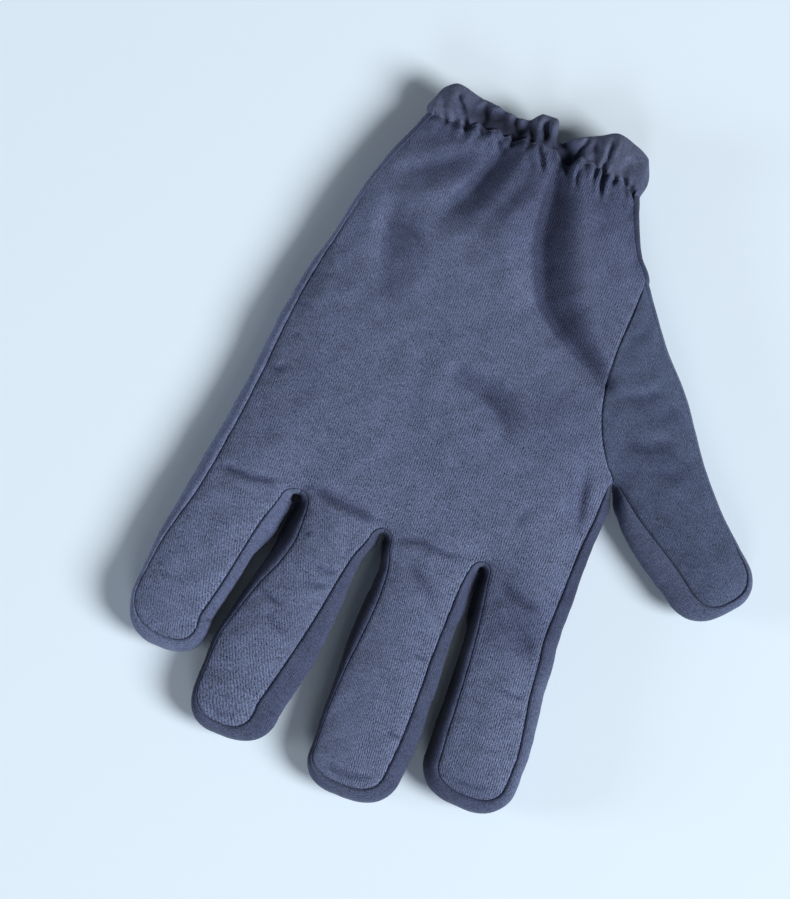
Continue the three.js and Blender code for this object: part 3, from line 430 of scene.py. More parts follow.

# Patches of painted shade and painted light, where the cloth is painted a little darker or paler for how the
# light falls on it: the place, how far it reaches both ways, and by what share.
PAINTED_LIGHT_AND_SHADE = rows_of("""
    0 10 60 20 -0.3, -32 20 9 11 -0.09, 30 17 10 9 -0.1, -32 14 10 10 -0.08, 0 16 6 8 -0.14,
    0 30 7 12 -0.14, -6 29 4 12 -0.14, 30 50 9 14 -0.08, 27 68 5 8 -0.08, 46 48 6 30 0.26,
    -42 42 14 18 -0.12, -40 92 16 16 -0.15, -18 118 12 20 -0.05, 42.6 108 5 9 -0.14, 50 131 4 6 -0.12,
    -22 94 8 5 -0.12, -41 88 8 6 -0.07, 56 120 3 5 0.08, 6 108 7 22 -0.07, -54 160 12 11 -0.36,
    -58 188 10 12 0.05, -18 170 10 12 0.06, -58 222 16 6 -0.24, -31 57 9 6 -0.16, 63 110 4 50 0.12,
    -39 13 2.2 4 -0.3, -42.4 21 2.2 5 -0.3, -46.4 28 2.2 4 -0.3, -49.6 33 2.2 4 -0.25, 60 190 9 14 0.08,
    -90 100 30 22 -0.06, -68.6 136 3.4 28 -0.6, -74 205 2.6 14 0.12, -72 80 10 10 0.09,
""")
# The ruffle's patches of painted shade and painted light, in the same columns.
RUFFLE_PAINTED_LIGHT_AND_SHADE = rows_of("""
    20 1.5 8 3.5 -0.55, 29 1.5 5 4 -0.22, 8 1.5 8 3 -0.5, -10 2 5 4 -0.5, -1 -2 3 4 -0.2, -27 -2 5 8 0.06,
    -39 2 4 10 -0.4,
""")


# The cutting pattern
def palm_side(side, y):
    y = np.asarray(y, float)
    return np.stack([palm_edge[side](y), y, palm_edge[side + "Bulge"](y)], -1)


def left_edge(y):
    return palm_side("left", y)


def right_edge(y):
    return palm_side("right", y)


def curve_points(curves, names, at):
    return np.column_stack([curves[name](at) for name in names.split()])


def thumb_outer(y):
    return curve_points(thumb_root, "outerX outerY bulge", y)


def with_tip(left, right, reach, lean, tip_bulge, count):
    """Adds the rounded tip's rows to a finger's sides, and the last row over the tip point by point."""
    middle = (left[-1] + right[-1])[:2] / 2
    half = (left[-1] - right[-1])[:2] / 2
    ahead = np.array([half[1], -half[0]]) / np.hypot(*half)

    def at(degrees):
        """Points from one shoulder (0 degrees) over the tip (90) to the other (180)."""
        a = np.radians(degrees)
        across = np.sign(np.cos(a)) * np.abs(np.cos(a)) ** TIP_POWER
        along = np.sin(a) ** TIP_POWER
        xy = middle + np.outer(across, half) + np.outer(along, ahead * reach + np.array([lean, 0]))
        side = np.where(degrees < 90, left[-1, 2], right[-1, 2])
        return np.column_stack([xy, lerp(side, tip_bulge, np.sin(a) ** 2)])

    end = TIP_ANGLES[-1]
    over = at(np.linspace(end, 180 - end, count + 1))
    return np.vstack([left, at(TIP_ANGLES[:-1])]), np.vstack([right, at(180 - TIP_ANGLES[:-1])]), over


def finger_side(rows, side, crotch, shoulder, steps):
    """A finger's side up to its shoulder, with a rounded foot where it starts from a crotch."""
    x = through(rows["y"], rows[side])
    bulge = through(rows["y"], rows[side + "Bulge"])
    base = MIDDLE_CROTCH if crotch is None else crotch[1]
    start = base + CROTCH_HEIGHT
    a = np.radians(FOOT_ANGLES)
    foot = base + CROTCH_HEIGHT * (1 - np.cos(a))
    y = np.concatenate([foot, np.linspace(start, shoulder, steps + 1)[1:]])
    line = np.column_stack([x(y), y, bulge(y)])
    if crotch is not None:
        line[: len(foot), 0] = lerp(crotch[0], x(start), np.sin(a))
        line[: len(foot), 2] = lerp(CROTCH_BULGE, bulge(start), np.sin(a) ** 2)
    return line


def finger_shape(number, count):
    end, reach, tip_bulge, lean = FINGER_TIPS[number]
    rows = FINGER_SIDES[number]
    steps = round(ROWS_A_MM * (end - reach - MIDDLE_CROTCH - CROTCH_HEIGHT))
    left = finger_side(rows, "left", CROTCHES[number - 1] if number > 0 else None, end - reach, steps)
    right = finger_side(rows, "right", CROTCHES[number] if number < 3 else None, end - reach, steps)
    return with_tip(left, right, reach, lean, tip_bulge, count)


def thumb_shape(count):
    s = np.linspace(0, 5, THUMB_STEPS + 1)[1:]
    outer = curve_points(thumb_free, "outerX outerY outerBulge", s)
    inner = curve_points(thumb_free, "innerX innerY innerBulge", s)
    return with_tip(outer, inner, THUMB_TIP_REACH, 0, THUMB_TIP_BULGE, count)


hand_rows = np.concatenate([[8.0]] + [np.linspace(a, b, n + 1)[1:] for a, b, n in ROW_STOPS])
root_rows = hand_rows[(hand_rows > THUMB_SEAM_START) & (hand_rows <= THUMB_CROTCH)]
crotch_points = np.column_stack([CROTCHES, np.full(3, CROTCH_BULGE)])


def round_finger(shape):
    left, right, over = shape
    return np.vstack([right, over[::-1], left[::-1]])


# The outline in stretches, of which each goes on from the last point of the one before.
index, middle, ring, little = (round_finger(finger_shape(number, FINGER_COLUMNS)) for number in range(4))
STRETCHES = {
    "strip_little": [right_edge(hand_rows), little, crotch_points[2:]],
    "strip_ring": [ring, crotch_points[1:2]],
    "strip_middle": [middle, crotch_points[:1]],
    "strip_index": [index, left_edge(hand_rows[hand_rows >= THUMB_CROTCH])[::-1]],
    "strip_thumb": [
        round_finger(thumb_shape(FINGER_COLUMNS)),
        thumb_outer(root_rows)[::-1],
        left_edge(hand_rows[hand_rows <= THUMB_SEAM_START])[::-1],
    ],
}
outline = np.vstack([points for parts in STRETCHES.values() for points in parts])
stretch_ends = np.cumsum([sum(map(len, parts)) for parts in STRETCHES.values()]) - 1
thumb_seam = left_edge(np.linspace(THUMB_SEAM_START, THUMB_CROTCH, THUMB_SEAM_STEPS))
ahead = np.gradient(outline[:, :2], axis=0)
ahead /= np.linalg.norm(ahead, axis=1, keepdims=True)
outline_normal = np.column_stack([ahead[:, 1], -ahead[:, 0]])


# Places near lines
def nearest(points, xy):
    """How far the nearest place on a line is, on which side, and where on the line, counted in its points."""
    best = np.full(len(xy), np.inf)
    side = np.ones(len(xy))
    place = np.zeros(len(xy))
    for i, (a, b) in enumerate(zip(points[:-1], points[1:])):
        d = b - a
        t = np.clip((xy - a) @ d / (d @ d), 0, 1)
        off = xy - a - t[:, None] * d
        distance = np.hypot(*off.T)
        nearer = distance < best
        side = np.where(nearer, d[0] * off[:, 1] - d[1] * off[:, 0], side)
        place = np.where(nearer, i + t, place)
        best = np.minimum(best, distance)
    return best, side, place


def length_along(seam):
    return np.concatenate([[0], np.cumsum(np.hypot(*np.diff(seam[:, :2], axis=0).T))])


def near_seam(seam, xy):
    """How far the nearest place on a seam is, to either side of its nearest point, and how far along."""
    points, length = seam[:, :2], length_along(seam)
    tree = KDTree(len(points))
    for i, p in enumerate(points):
        tree.insert((*p, 0), i)
    tree.balance()
    found = np.array([tree.find((x, y, 0))[1] for x, y in xy.tolist()])
    best = np.full(len(xy), np.inf)
    along = np.zeros(len(xy))
    for i in (np.maximum(found - 1, 0), np.minimum(found, len(points) - 2)):
        a, d = points[i], points[i + 1] - points[i]
        t = np.clip(((xy - a) * d).sum(1) / (d * d).sum(1), 0, 1)
        distance = np.hypot(*(xy - a - d * t[:, None]).T)
        along = np.where(distance < best, lerp(length[i], length[i + 1], t), along)
        best = np.minimum(distance, best)
    return best, along


# Heights
def fold_forms(xy):
    """How deep the folds are, and how fully the cloth lies on a flank that faces away from the light."""
    total = np.zeros(len(xy))
    shaded = np.zeros(len(xy))
    for fold in FOLDS:
        distance, side, place = nearest(fold[:, :2], xy)
        depth, left, right = (np.interp(place, range(len(fold)), column) for column in fold.T[2:])
        run = (np.hypot(distance, FOLD_CORE) - FOLD_CORE) / np.where(side > 0, left, right)
        straight_flank = (1 - run + np.hypot(1 - run, FOLD_RIDGE)) / 2
        round_flank = np.clip(1 - run, 0, 1) ** FOLD_POWER
        total += depth * np.where(side > 0, straight_flank, round_flank)
        flank = np.where(side > 0, run, run / SHADE_RIGHT_SHARE)
        share = np.minimum(1, depth / FOLD_SHADE_DEPTH)
        shaded = np.maximum(shaded, share * (1 - smoothstep(*FOLD_SHADE_RUN, flank)))
    return total, shaded


def crease_depth(creases, xy):
    total = np.zeros(len(xy))
    ridge_height, ridge_place, ridge_width = CREASE_RIDGE
    for depth, width, *line in creases:
        points = np.reshape(line, (-1, 2))
        distance, _, place = nearest(points, xy)
        share = place / (len(points) - 1)
        ends = smoothstep(*CREASE_ENDS, np.minimum(share, 1 - share))
        ridge = bell((distance - ridge_place * width) / (ridge_width * width))
        total += depth * ends * (bell(distance / width) - ridge_height * ridge)
    return total


def seam_shown(xy):
    """How much of the side seam shows: by the cuff and along the thumb the cloth rolls over it."""
    x, y = xy[..., 0], xy[..., 1]
    above = y - THUMB_SEAM_START - THUMB_SLOPE * np.maximum(0, THUMB_SEAM_X - x)
    thumb_side = np.maximum(smoothstep(*THUMB_SEAM_SHOWS, above), smoothstep(*THUMB_END_SHOWS, -x))
    return np.where(x > 0, smoothstep(*LITTLE_SEAM_SHOWS, y), thumb_side)


# Paints light and shade: the colour is scaled by the patches of painted shade and painted light.
def painted_light_and_shade_tone(xy, patches=PAINTED_LIGHT_AND_SHADE):
    tone = np.ones(xy.shape[:-1])
    for x, y, across, up, share in patches:
        tone += share * np.exp(-(((xy[..., 0] - x) / across) ** 2) - ((xy[..., 1] - y) / up) ** 2)
    return tone


def pucker_depth(xy):
    rise = np.maximum(0, xy[:, 1] - ELASTIC_Y)
    total = np.zeros(len(xy))
    for x, depth, width, length, lean in PUCKERS:
        spread = width * (1 + rise / length)
        across = (xy[:, 0] - x - lean * rise) / spread
        total += PUCKER_SHARE * depth * np.exp(-(across**2) - (rise / length) ** 2)
    return total


def gathers(xy):
    """Small lobes of the hand between the puckers, hanging over the elastic."""
    rise = np.maximum(0, xy[:, 1] - ELASTIC_Y)
    wander = xy[:, 0] + 0.9 * noise(xy[:, 0] / 5, rise / 7, 5)
    fine = noise(wander / 2.1, rise / 9 + 3, 7)
    return (GATHER_HEIGHT * fine - GATHER_SUNK) * bell(rise / GATHER_RUN)


def seam_cloth(distance, along, seed, shown=1.0):
    """The groove of a seam with the puckers that its thread draws beside it."""
    groove = shown * SEAM_GROOVE * bell(distance / SEAM_GROOVE_WIDTH)
    beside = np.exp(-distance / SEAM_PUCKER_RUN[1]) * (1 - bell(distance / SEAM_PUCKER_RUN[0]))
    slow = noise(along / 5.2, distance / 9, seed)
    fast = noise(along / 2.3, distance / 5, seed + 1)
    return SEAM_PUCKER * beside * (1.5 * slow + 0.7 * fast) - groove


def soft_cloth(xy, seed):
    """Undulations of cloth that nothing holds."""
    x, y = xy[:, 0], xy[:, 1]
    wide = noise(x / 21, y / 26, seed)
    middle = noise(x / 9 + 0.4 * wide, y / 11, seed + 1)
    slant = noise((x + 0.8 * y) / 17, (y - 0.8 * x) / 7.5, seed + 3)
    finger = smoothstep(142, 158, y)
    across = noise(x / 15, y / 5.2 + 0.5 * middle, seed + 2)
    return 0.42 * wide + 0.3 * middle + 0.24 * slant + finger * 0.3 * across


def front_plain(xy, distance):
    """The front's height without its seams' grooves and the small relief."""
    y = xy[:, 1]
    crown = CROWN_SHARE * height["crown"](y) * (1 - np.exp(-distance / CROWN_RUN))
    dome = height["dome"](y) * (1 - (1 - np.minimum(1, distance / DOME_RUN)) ** 2)
    free = 1 - bell(distance / SEAM_HOLD)
    return height["seam"](y) + crown + dome - free * (pucker_depth(xy) + fold_forms(xy)[0])


def front_height(xy, distance, along):
    inner, inner_along = near_seam(thumb_seam, xy)
    relief = seam_cloth(distance, along, 11, seam_shown(xy))
    relief += seam_cloth(inner, inner_along, 23) * smoothstep(0, SEAM_FREE, distance)
    rise = xy[:, 1] - ELASTIC_Y
    held = lerp(CREASE_HELD, 1, smoothstep(0, CREASE_HELD_RUN, rise))
    creases = crease_depth(CREASES, xy) + crease_depth(CUFF_CREASES, drawn_in(xy)) * held
    relief += (1 - bell(distance / SEAM_FREE)) * (soft_cloth(xy, 31) - creases + gathers(xy))
    relief -= ELASTIC_GROOVE * bell(rise / ELASTIC_GROOVE_WIDTH)
    return front_plain(xy, distance) + relief


def back_height(xy, distance):
    rolled = np.maximum(0, 1 - distance / BACK_ROLL)
    drawn = BACK_LIFT * bell((xy[:, 1] - ELASTIC_Y) / BACK_LIFT_RUN)
    waves = 0.5 + 0.5 * np.cos(2 * np.pi * xy[:, 0] / WAVE_PITCH)
    lifted = np.maximum(BACK_SEAM_HEIGHT * rolled**2, drawn * waves)
    return lifted + SEAM_GROOVE * bell(distance / SEAM_GROOVE_WIDTH)


def drawn_in(xy):
    """Where the elastic draws points of the pattern, towards the rim."""
    x, y = xy.T
    drop = elastic_sag(x) * (1 - smoothstep(ELASTIC_Y, ELASTIC_Y + ELASTIC_RUN, y))
    return np.column_stack([x, y - drop])


# Surfaces
def graded(count, grading):
    """Shares from 0 to 1 that are closer together near both ends."""
    i = np.arange(count + 1) / count
    return i - grading * np.sin(2 * np.pi * i) / (2 * np.pi)


def palm_row(y, count):
    left, right = left_edge(y), right_edge(y)
    bend = np.clip((y - ROWS_BEND_FROM) / (PALM_TOP - ROWS_BEND_FROM), 0, 1)
    lift = np.clip((y - ROWS_LIFT_FROM) / (PALM_TOP - ROWS_LIFT_FROM), 0, 1) ** 2
    top_left, top_right = left_edge(PALM_TOP), right_edge(PALM_TOP)
    stops = np.vstack([top_left, crotch_points, top_right])
    even = graded(4 * count, PALM_GRADING)
    quarters = np.concatenate([q + graded(count, EDGE_GRADING)[int(q > 0):] for q in range(4)])
    stop_x, stop_y = (np.interp(quarters, range(5), column) for column in stops.T[:2])
    share = (stop_x - top_left[0]) / (top_right[0] - top_left[0])
    x = lerp(left[0], right[0], lerp(even, share, bend))
    return np.column_stack([x, y + lift * (stop_y - PALM_TOP)])


class Sheet:
    """An open surface of quads between rows of points on the pattern."""

    def __init__(self):
        self.rows = []
        self.faces = []

    def add(self, row):
        start = sum(map(len, self.rows))
        self.rows.append(row)
        return np.arange(start, start + len(row))

    def fill(self, rows):
        for a, b in zip(rows, rows[1:]):
            if len(a) == 1:
                self.faces += [(int(a[0]), int(b[i + 1]), int(b[i])) for i in range(len(b) - 1)]
            else:
                self.faces += np.column_stack([a[:-1], a[1:], b[1:], b[:-1]]).tolist()

    def between(self, left, right, shares):
        """Rows that run straight across from each point of one side to the same point of the other."""
        return [self.add(a[:2] + shares[:, None] * (b - a)[:2]) for a, b in zip(left, right)]

    def points(self):
        return np.vstack(self.rows)


def lay_hand(sheet, count):
    rows = [sheet.add(palm_row(y, count)) for y in hand_rows]
    sheet.fill(rows)
    for number in range(4):
        left, right, over = finger_shape(number, count)
        first = rows[-1][number * count : (number + 1) * count + 1]
        body = sheet.between(left, right, graded(count, EDGE_GRADING))
        sheet.fill([first, *body, sheet.add(over[:, :2])])
    return rows


def lay_thumb(sheet, count):
    shares = graded(count, EDGE_GRADING)
    start = sheet.add(left_edge([THUMB_SEAM_START])[:, :2])
    root = sheet.between(thumb_outer(root_rows), left_edge(root_rows), shares)
    outer, inner, over = thumb_shape(count)
    free = sheet.between(outer, inner, shares)
    sheet.fill([start, *root, *free, sheet.add(over[:, :2])])


# The lines of the weave slant on the palm, and past its end each finger's cloth leans in its own way.
WEAVE_SLANT = 0.035
WEAVE_TURN = 140.0
WEAVE_TURN_RUN = 12.0
WEAVE_LEAN = table("x lean", "-60 -0.05, -18 -0.09, 16 -0.36, 52 -0.2")


def weave_of(xy):
    x, y = xy.T
    lean = np.interp(x, WEAVE_LEAN["x"], WEAVE_LEAN["lean"])
    past = np.maximum(0, y - WEAVE_TURN)
    run = np.where(past < WEAVE_TURN_RUN, past**2 / (2 * WEAVE_TURN_RUN), past - WEAVE_TURN_RUN / 2)
    return np.column_stack([x + WEAVE_SLANT * y - lean * run, y])


def rim_edges(faces):
    """The edges that belong to one face only."""
    edges = [edge for face in faces for edge in zip(face, face[1:] + face[:1])]
    known = set(edges)
    return [(a, b) for a, b in edges if (b, a) not in known]


def build(name, node, outer, inner, faces, weave, shades, material):
    """A closed wall between an outer and an inner surface, as the piece that stands for a CAD node."""
    n = len(outer)
    faces = [list(f) for f in faces]
    walls = [(b, a, a + n, b + n) for a, b in rim_edges(faces)]
    everything = faces + [[i + n for i in reversed(f)] for f in faces] + walls
    points = (np.vstack([outer, inner]) - PATTERN_ORIGIN) * 0.001
    mesh = bpy.data.meshes.new(name)
    mesh.from_pydata(points.tolist(), [], everything)
    mesh.polygons.foreach_set("use_smooth", np.ones(len(mesh.polygons), bool))
    corners = np.zeros(len(mesh.loops), np.int32)
    mesh.loops.foreach_get("vertex_index", corners)
    layer = mesh.uv_layers.new(name="Weave")
    layer.uv.foreach_set("vector", np.vstack([weave, weave])[corners].ravel().astype(np.float32))
    for key, values in shades.items():
        held = mesh.attributes.new(key, "FLOAT", "POINT")
        held.data.foreach_set("value", np.concatenate([values, values]).astype(np.float32))
    mesh.materials.append(material)
    mesh.update()
    piece = bpy.data.objects.new(name, mesh)
    bpy.context.scene.collection.objects.link(piece)
    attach(piece, "root")
    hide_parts(node)


# Materials
class Graph:
    """Adds nodes to a material and links them."""

    def __init__(self, name):
        self.material = bpy.data.materials.new(name)
        self.material.use_nodes = True
        self.tree = self.material.node_tree
        self.tree.nodes.clear()

    def add(self, kind, inputs=None, output=0, **settings):
        node = self.tree.nodes.new(kind)
        for key, value in settings.items():
            setattr(node, key, value)
        for key, value in (inputs or {}).items():
            if isinstance(value, bpy.types.NodeSocket):
                self.tree.links.new(value, node.inputs[key])
            else:
                node.inputs[key].default_value = value
        return node.outputs[output]

    def math(self, operation, a, b=0.0, c=0.0):
        return self.add("ShaderNodeMath", {0: a, 1: b, 2: c}, operation=operation)

    def times(self, a, b):
        return self.math("MULTIPLY", a, b)

    def plus(self, total, value, share):
        return self.math("MULTIPLY_ADD", value, share, total)

    def vector(self, operation, a, b):
        return self.add("ShaderNodeVectorMath", {0: a, 1: b}, operation=operation)

    def noise(self, vector, scale, detail=2.0, roughness=0.5):
        inputs = {"Vector": vector, "Scale": scale, "Detail": detail, "Roughness": roughness}
        return self.add("ShaderNodeTexNoise", inputs)

    def uneven(self, *place):
        """Noise around 0."""
        return self.math("SUBTRACT", self.noise(*place), 0.5)

    def ramp(self, value, low, high, to_low=0.0, to_high=1.0):
        inputs = {"Value": value, 1: low, 2: high, 3: to_low, 4: to_high}
        return self.add("ShaderNodeMapRange", inputs, interpolation_type="SMOOTHSTEP")

    def held(self, name):
        """What the mesh holds at each point under a name."""
        return self.add("ShaderNodeAttribute", output=2, attribute_name=name)

    def blend(self, share, a, b):
        inputs = {0: share, 6: (*a, 1), 7: (*b, 1)}
        return self.add("ShaderNodeMix", inputs, output=2, data_type="RGBA")

    def surface(self, colour, tone, **inputs):
        """Ends the material with a colour, scaled by a tone, and the shader's other inputs."""
        toned = self.add("ShaderNodeVectorMath", {0: colour, "Scale": tone}, operation="SCALE")
        sockets = {key.replace("_", " "): value for key, value in inputs.items()}
        shader = self.add("ShaderNodeBsdfPrincipled", {"Base Color": toned, **sockets})
        out = self.tree.nodes.new("ShaderNodeOutputMaterial")
        self.tree.links.new(shader, out.inputs[0])
        return self.material


LINE_PITCH = 0.81
LINE_WANDER = 0.9
LINE_CLEAR = (0.35, 0.65, 0.65, 0.95)  # lines come and go over the cloth
LINE_SHARE = (-15.0, 25.0, 1.12, 0.8)  # and are stronger on the thumb's side
FINE_SHARE = (15.0, 190.0, 0.65, 1.0)  # the weave shows more towards the fingertips
MOTTLING = [(0.16, 3, 0.6, 0.6), (0.42, 2, 0.6, 0.5), (0.05, 3, 0.55, 0.3)]  # noise and its share
SEAM_LINE = (0.08, 0.38, 0.56, 1.0)  # within these millimetres of a seam the cloth is darker
SHADE_TINT = (0.84, 0.88, 1.16)  # the painted shade is bluer where it darkens the cloth
WHITE = (1, 1, 1)
BUMP_DISTANCE = 0.0002


def twill(name, colour, warm, lines, speckle):
    """Twill with lines along the weave's second axis, melange speckle, darker seams and the painted shade and
    light that the mesh holds.
    """
    g = Graph(name)
    uv = g.add("ShaderNodeUVMap", uv_map="Weave")
    across = g.add("ShaderNodeSeparateXYZ", {0: uv})
    along = g.add("ShaderNodeSeparateXYZ", {0: uv}, output=1)
    wander = g.plus(across, g.noise(uv, 0.35), LINE_WANDER)
    line = g.math("SINE", g.times(wander, 2 * math.pi / LINE_PITCH))
    line = g.times(line, g.ramp(g.noise(uv, 0.13, 3, 0.6), *LINE_CLEAR))
    stretched = g.vector("MULTIPLY", uv, (2.3, 0.95, 1))
    thread = g.uneven(stretched, 1.0, 3, 0.75)
    floats = g.vector("MULTIPLY", uv, (3.0, 1.15, 1))
    dash = g.ramp(g.noise(floats, 1.0, 1), 0.56, 0.72)
    grain = g.uneven(uv, 2.3, 2, 0.7)
    fine = g.times(g.times(line, g.ramp(across, *LINE_SHARE)), lines)
    for value, share in ((thread, 1.0), (grain, 1.1), (dash, 0.2)):
        fine = g.plus(fine, value, speckle * share)
    tone = g.plus(1.0, fine, g.ramp(along, *FINE_SHARE))
    for *place, share in MOTTLING:
        tone = g.plus(tone, g.uneven(uv, *place), share)
    # The painted shade and painted light that the mesh holds under 'tone', which also tints the colour bluer
    # where it darkens.
    shade = g.held("tone")
    seam = g.plus(g.held("seam"), g.noise(uv, 0.9), 0.3)
    tone = g.times(g.times(tone, shade), g.ramp(seam, *SEAM_LINE))
    base = g.blend(g.ramp(g.noise(stretched, 0.8, 2, 0.7), 0.35, 0.7), colour, warm)
    tinted = g.vector("MULTIPLY", base, g.blend(shade, SHADE_TINT, WHITE))
    relief = g.plus(g.math("ADD", thread, grain), line, 0.35)
    return g.surface(
        tinted,
        tone,
        Roughness=g.plus(0.86, thread, 0.25),
        Normal=g.add("ShaderNodeBump", {"Strength": 0.28, "Distance": BUMP_DISTANCE, "Height": relief}),
        Specular_IOR_Level=0.22,
        Sheen_Weight=0.14,
        Sheen_Roughness=0.45,
        Sheen_Tint=(0.75, 0.8, 1.0, 1.0),
    )


def lining_cloth(name):
    """Charcoal lining with faint paler stripes running in from the rim."""
    g = Graph(name)
    uv = g.add("ShaderNodeUVMap", uv_map="Weave")
    streak = g.vector("MULTIPLY", uv, (0.32, 0.03, 1))
    stripe = g.ramp(g.noise(streak, 1.0, 3, 0.6), 0.4, 0.7)
    grain = g.noise(uv, 1.6, 3, 0.8)
    return g.surface(
        g.blend(stripe, (0.008, 0.008, 0.011), (0.03, 0.03, 0.034)),
        g.plus(0.65, grain, 0.7),
        Roughness=g.plus(0.62, grain, 0.2),
        Normal=g.add("ShaderNodeBump", {"Strength": 0.4, "Distance": BUMP_DISTANCE, "Height": grain}),
        Sheen_Weight=0.1,
    )


def floor_paint(name):
    g = Graph(name)
    mottle = g.noise(g.add("ShaderNodeTexCoord", output=3), 3.0, 3)
    return g.surface(g.blend(mottle, (0.74, 0.865, 0.985), (0.75, 0.875, 0.99)), 1.0, Roughness=0.9)


# A cloth's two thread colours, how strong its lines are and how strong its speckle is. The thumb's, strips'
# and ruffle's colours are darker copies, painted shade; the outer strip's is paler, painted light.
cloth = twill("glove_twill", (0.084, 0.11, 0.194), (0.1, 0.119, 0.203), 0.5, 3.1)
thumb_cloth_painted_shade = twill("thumb_twill_painted_shade", (0.0535, 0.075, 0.138), (0.063, 0.079, 0.142), 0.2, 2.9)
side_cloth_painted_light = twill("side_twill", (0.092, 0.119, 0.212), (0.105, 0.127, 0.219), 0.22, 2.5)
strip_cloth_painted_shade = twill("strip_twill", (0.0585, 0.0785, 0.143), (0.0685, 0.0825, 0.148), 0.22, 2.5)
hem_cloth_painted_shade = twill("hem_twill_painted_shade", (0.071, 0.091, 0.155), (0.083, 0.095, 0.161), 0.1, 2.6)
dark_lining = lining_cloth("dark_lining")

# The panels
down = np.array([0, 0, -1.0])


def panel_shades(xy, edge):
    """How far the nearest seam lies, and the painted shade in the cloth's folds, puckers and creases, with
    the patches of painted light and shade.
    """
    seam = np.minimum(edge + SEAM_HIDDEN * (1 - seam_shown(xy)), near_seam(thumb_seam, xy)[0])
    creased = CUFF_CREASE_SHARE * np.maximum(0, crease_depth(CUFF_CREASES, drawn_in(xy)))
    shade = 1 - PUCKER_SHADE * smoothstep(*PUCKER_SHADE_DEPTH, pucker_depth(xy) + creased)
    shade = shade * (1 - FOLD_SHADE * fold_forms(xy)[1])
    shade = shade * (1 - CREASE_SHADE * smoothstep(*CREASE_SHADE_DEPTH, crease_depth(CREASES, xy)))
    return {"seam": seam, "tone": shade * painted_light_and_shade_tone(xy)}


def front_panel(name, node, sheet, place, weave, material):
    """Builds a panel of the front, with a place for each point and the way its weave runs."""
    xy = sheet.points()
    seam, along = near_seam(outline, xy)
    points = np.column_stack([place(xy), front_height(xy, seam, along)])
    shades = panel_shades(xy, seam)
    build(name, node, points, points + WALL * down, sheet.faces, weave(xy), shades, material)
    return points, xy, seam


front = Sheet()
front_rows = lay_hand(front, FINGER_COLUMNS)
palm, front_xy, front_seam = front_panel("palm_cloth", "palm_panel", front, drawn_in, weave_of, cloth)

thumb = Sheet()
lay_thumb(thumb, FINGER_COLUMNS)
front_panel("thumb_cloth_painted_shade", "thumb_panel", thumb, np.asarray, np.asarray, thumb_cloth_painted_shade)

back = Sheet()
back_rows = lay_hand(back, BACK_FINGER_COLUMNS)
lay_thumb(back, BACK_FINGER_COLUMNS)
back_xy = back.points()
back_seam, _ = near_seam(outline, back_xy)
back_points = np.column_stack([back_xy, back_height(back_xy, back_seam)])
back_faces = [tuple(reversed(f)) for f in back.faces]
build("back_cloth", "back_panel", back_points, back_points - WALL * down, back_faces, weave_of(back_xy),
      {"seam": back_seam, "tone": np.ones(len(back_xy))}, cloth)


# The side strips
def cross(a, b):
    return a[..., 0] * b[..., 1] - a[..., 1] * b[..., 0]


def web_fullness(points, normals):
    """How far the strips bulge towards each other low down between the fingers."""
    x, y, bulge = points.T
    total = np.zeros(len(points))
    for number, (fades, ends) in enumerate(WEBS):
        before, after = FINGER_SIDES[number : number + 2]
        right = np.interp(y, before["y"], before["right"])
        left = np.interp(y, after["y"], after["left"])
        near = np.abs(x - (left + right) / 2) < (left - right) / 2 + 1
        room = np.maximum(0, np.abs(x - (left + right) / 2) - WEB_GAP / 2 - bulge)
        above = smoothstep(*WEB_SETS_IN, y - CROTCHES[number][1])
        total += near * room * above * (1 - smoothstep(fades, ends, y))
    run = THUMB_WEB[1] - THUMB_WEB[0]
    to_web = THUMB_WEB[0] - points[:, :2]
    facing = cross(normals, run)
    facing = np.where(np.abs(facing) > 0.1, facing, np.inf)
    reach = cross(to_web, run) / facing
    place = cross(to_web, normals) / facing
    near = (np.hypot(*to_web.T) < THUMB_WEB_FAR) & (reach > 0) & (reach < THUMB_WEB_REACH)
    room = np.maximum(0, reach - WEB_GAP / 2 - bulge)
    full = smoothstep(0, THUMB_WEB_SETS_IN, place) * (1 - smoothstep(*THUMB_WEB_FADES, place))
    return total + near * room * full


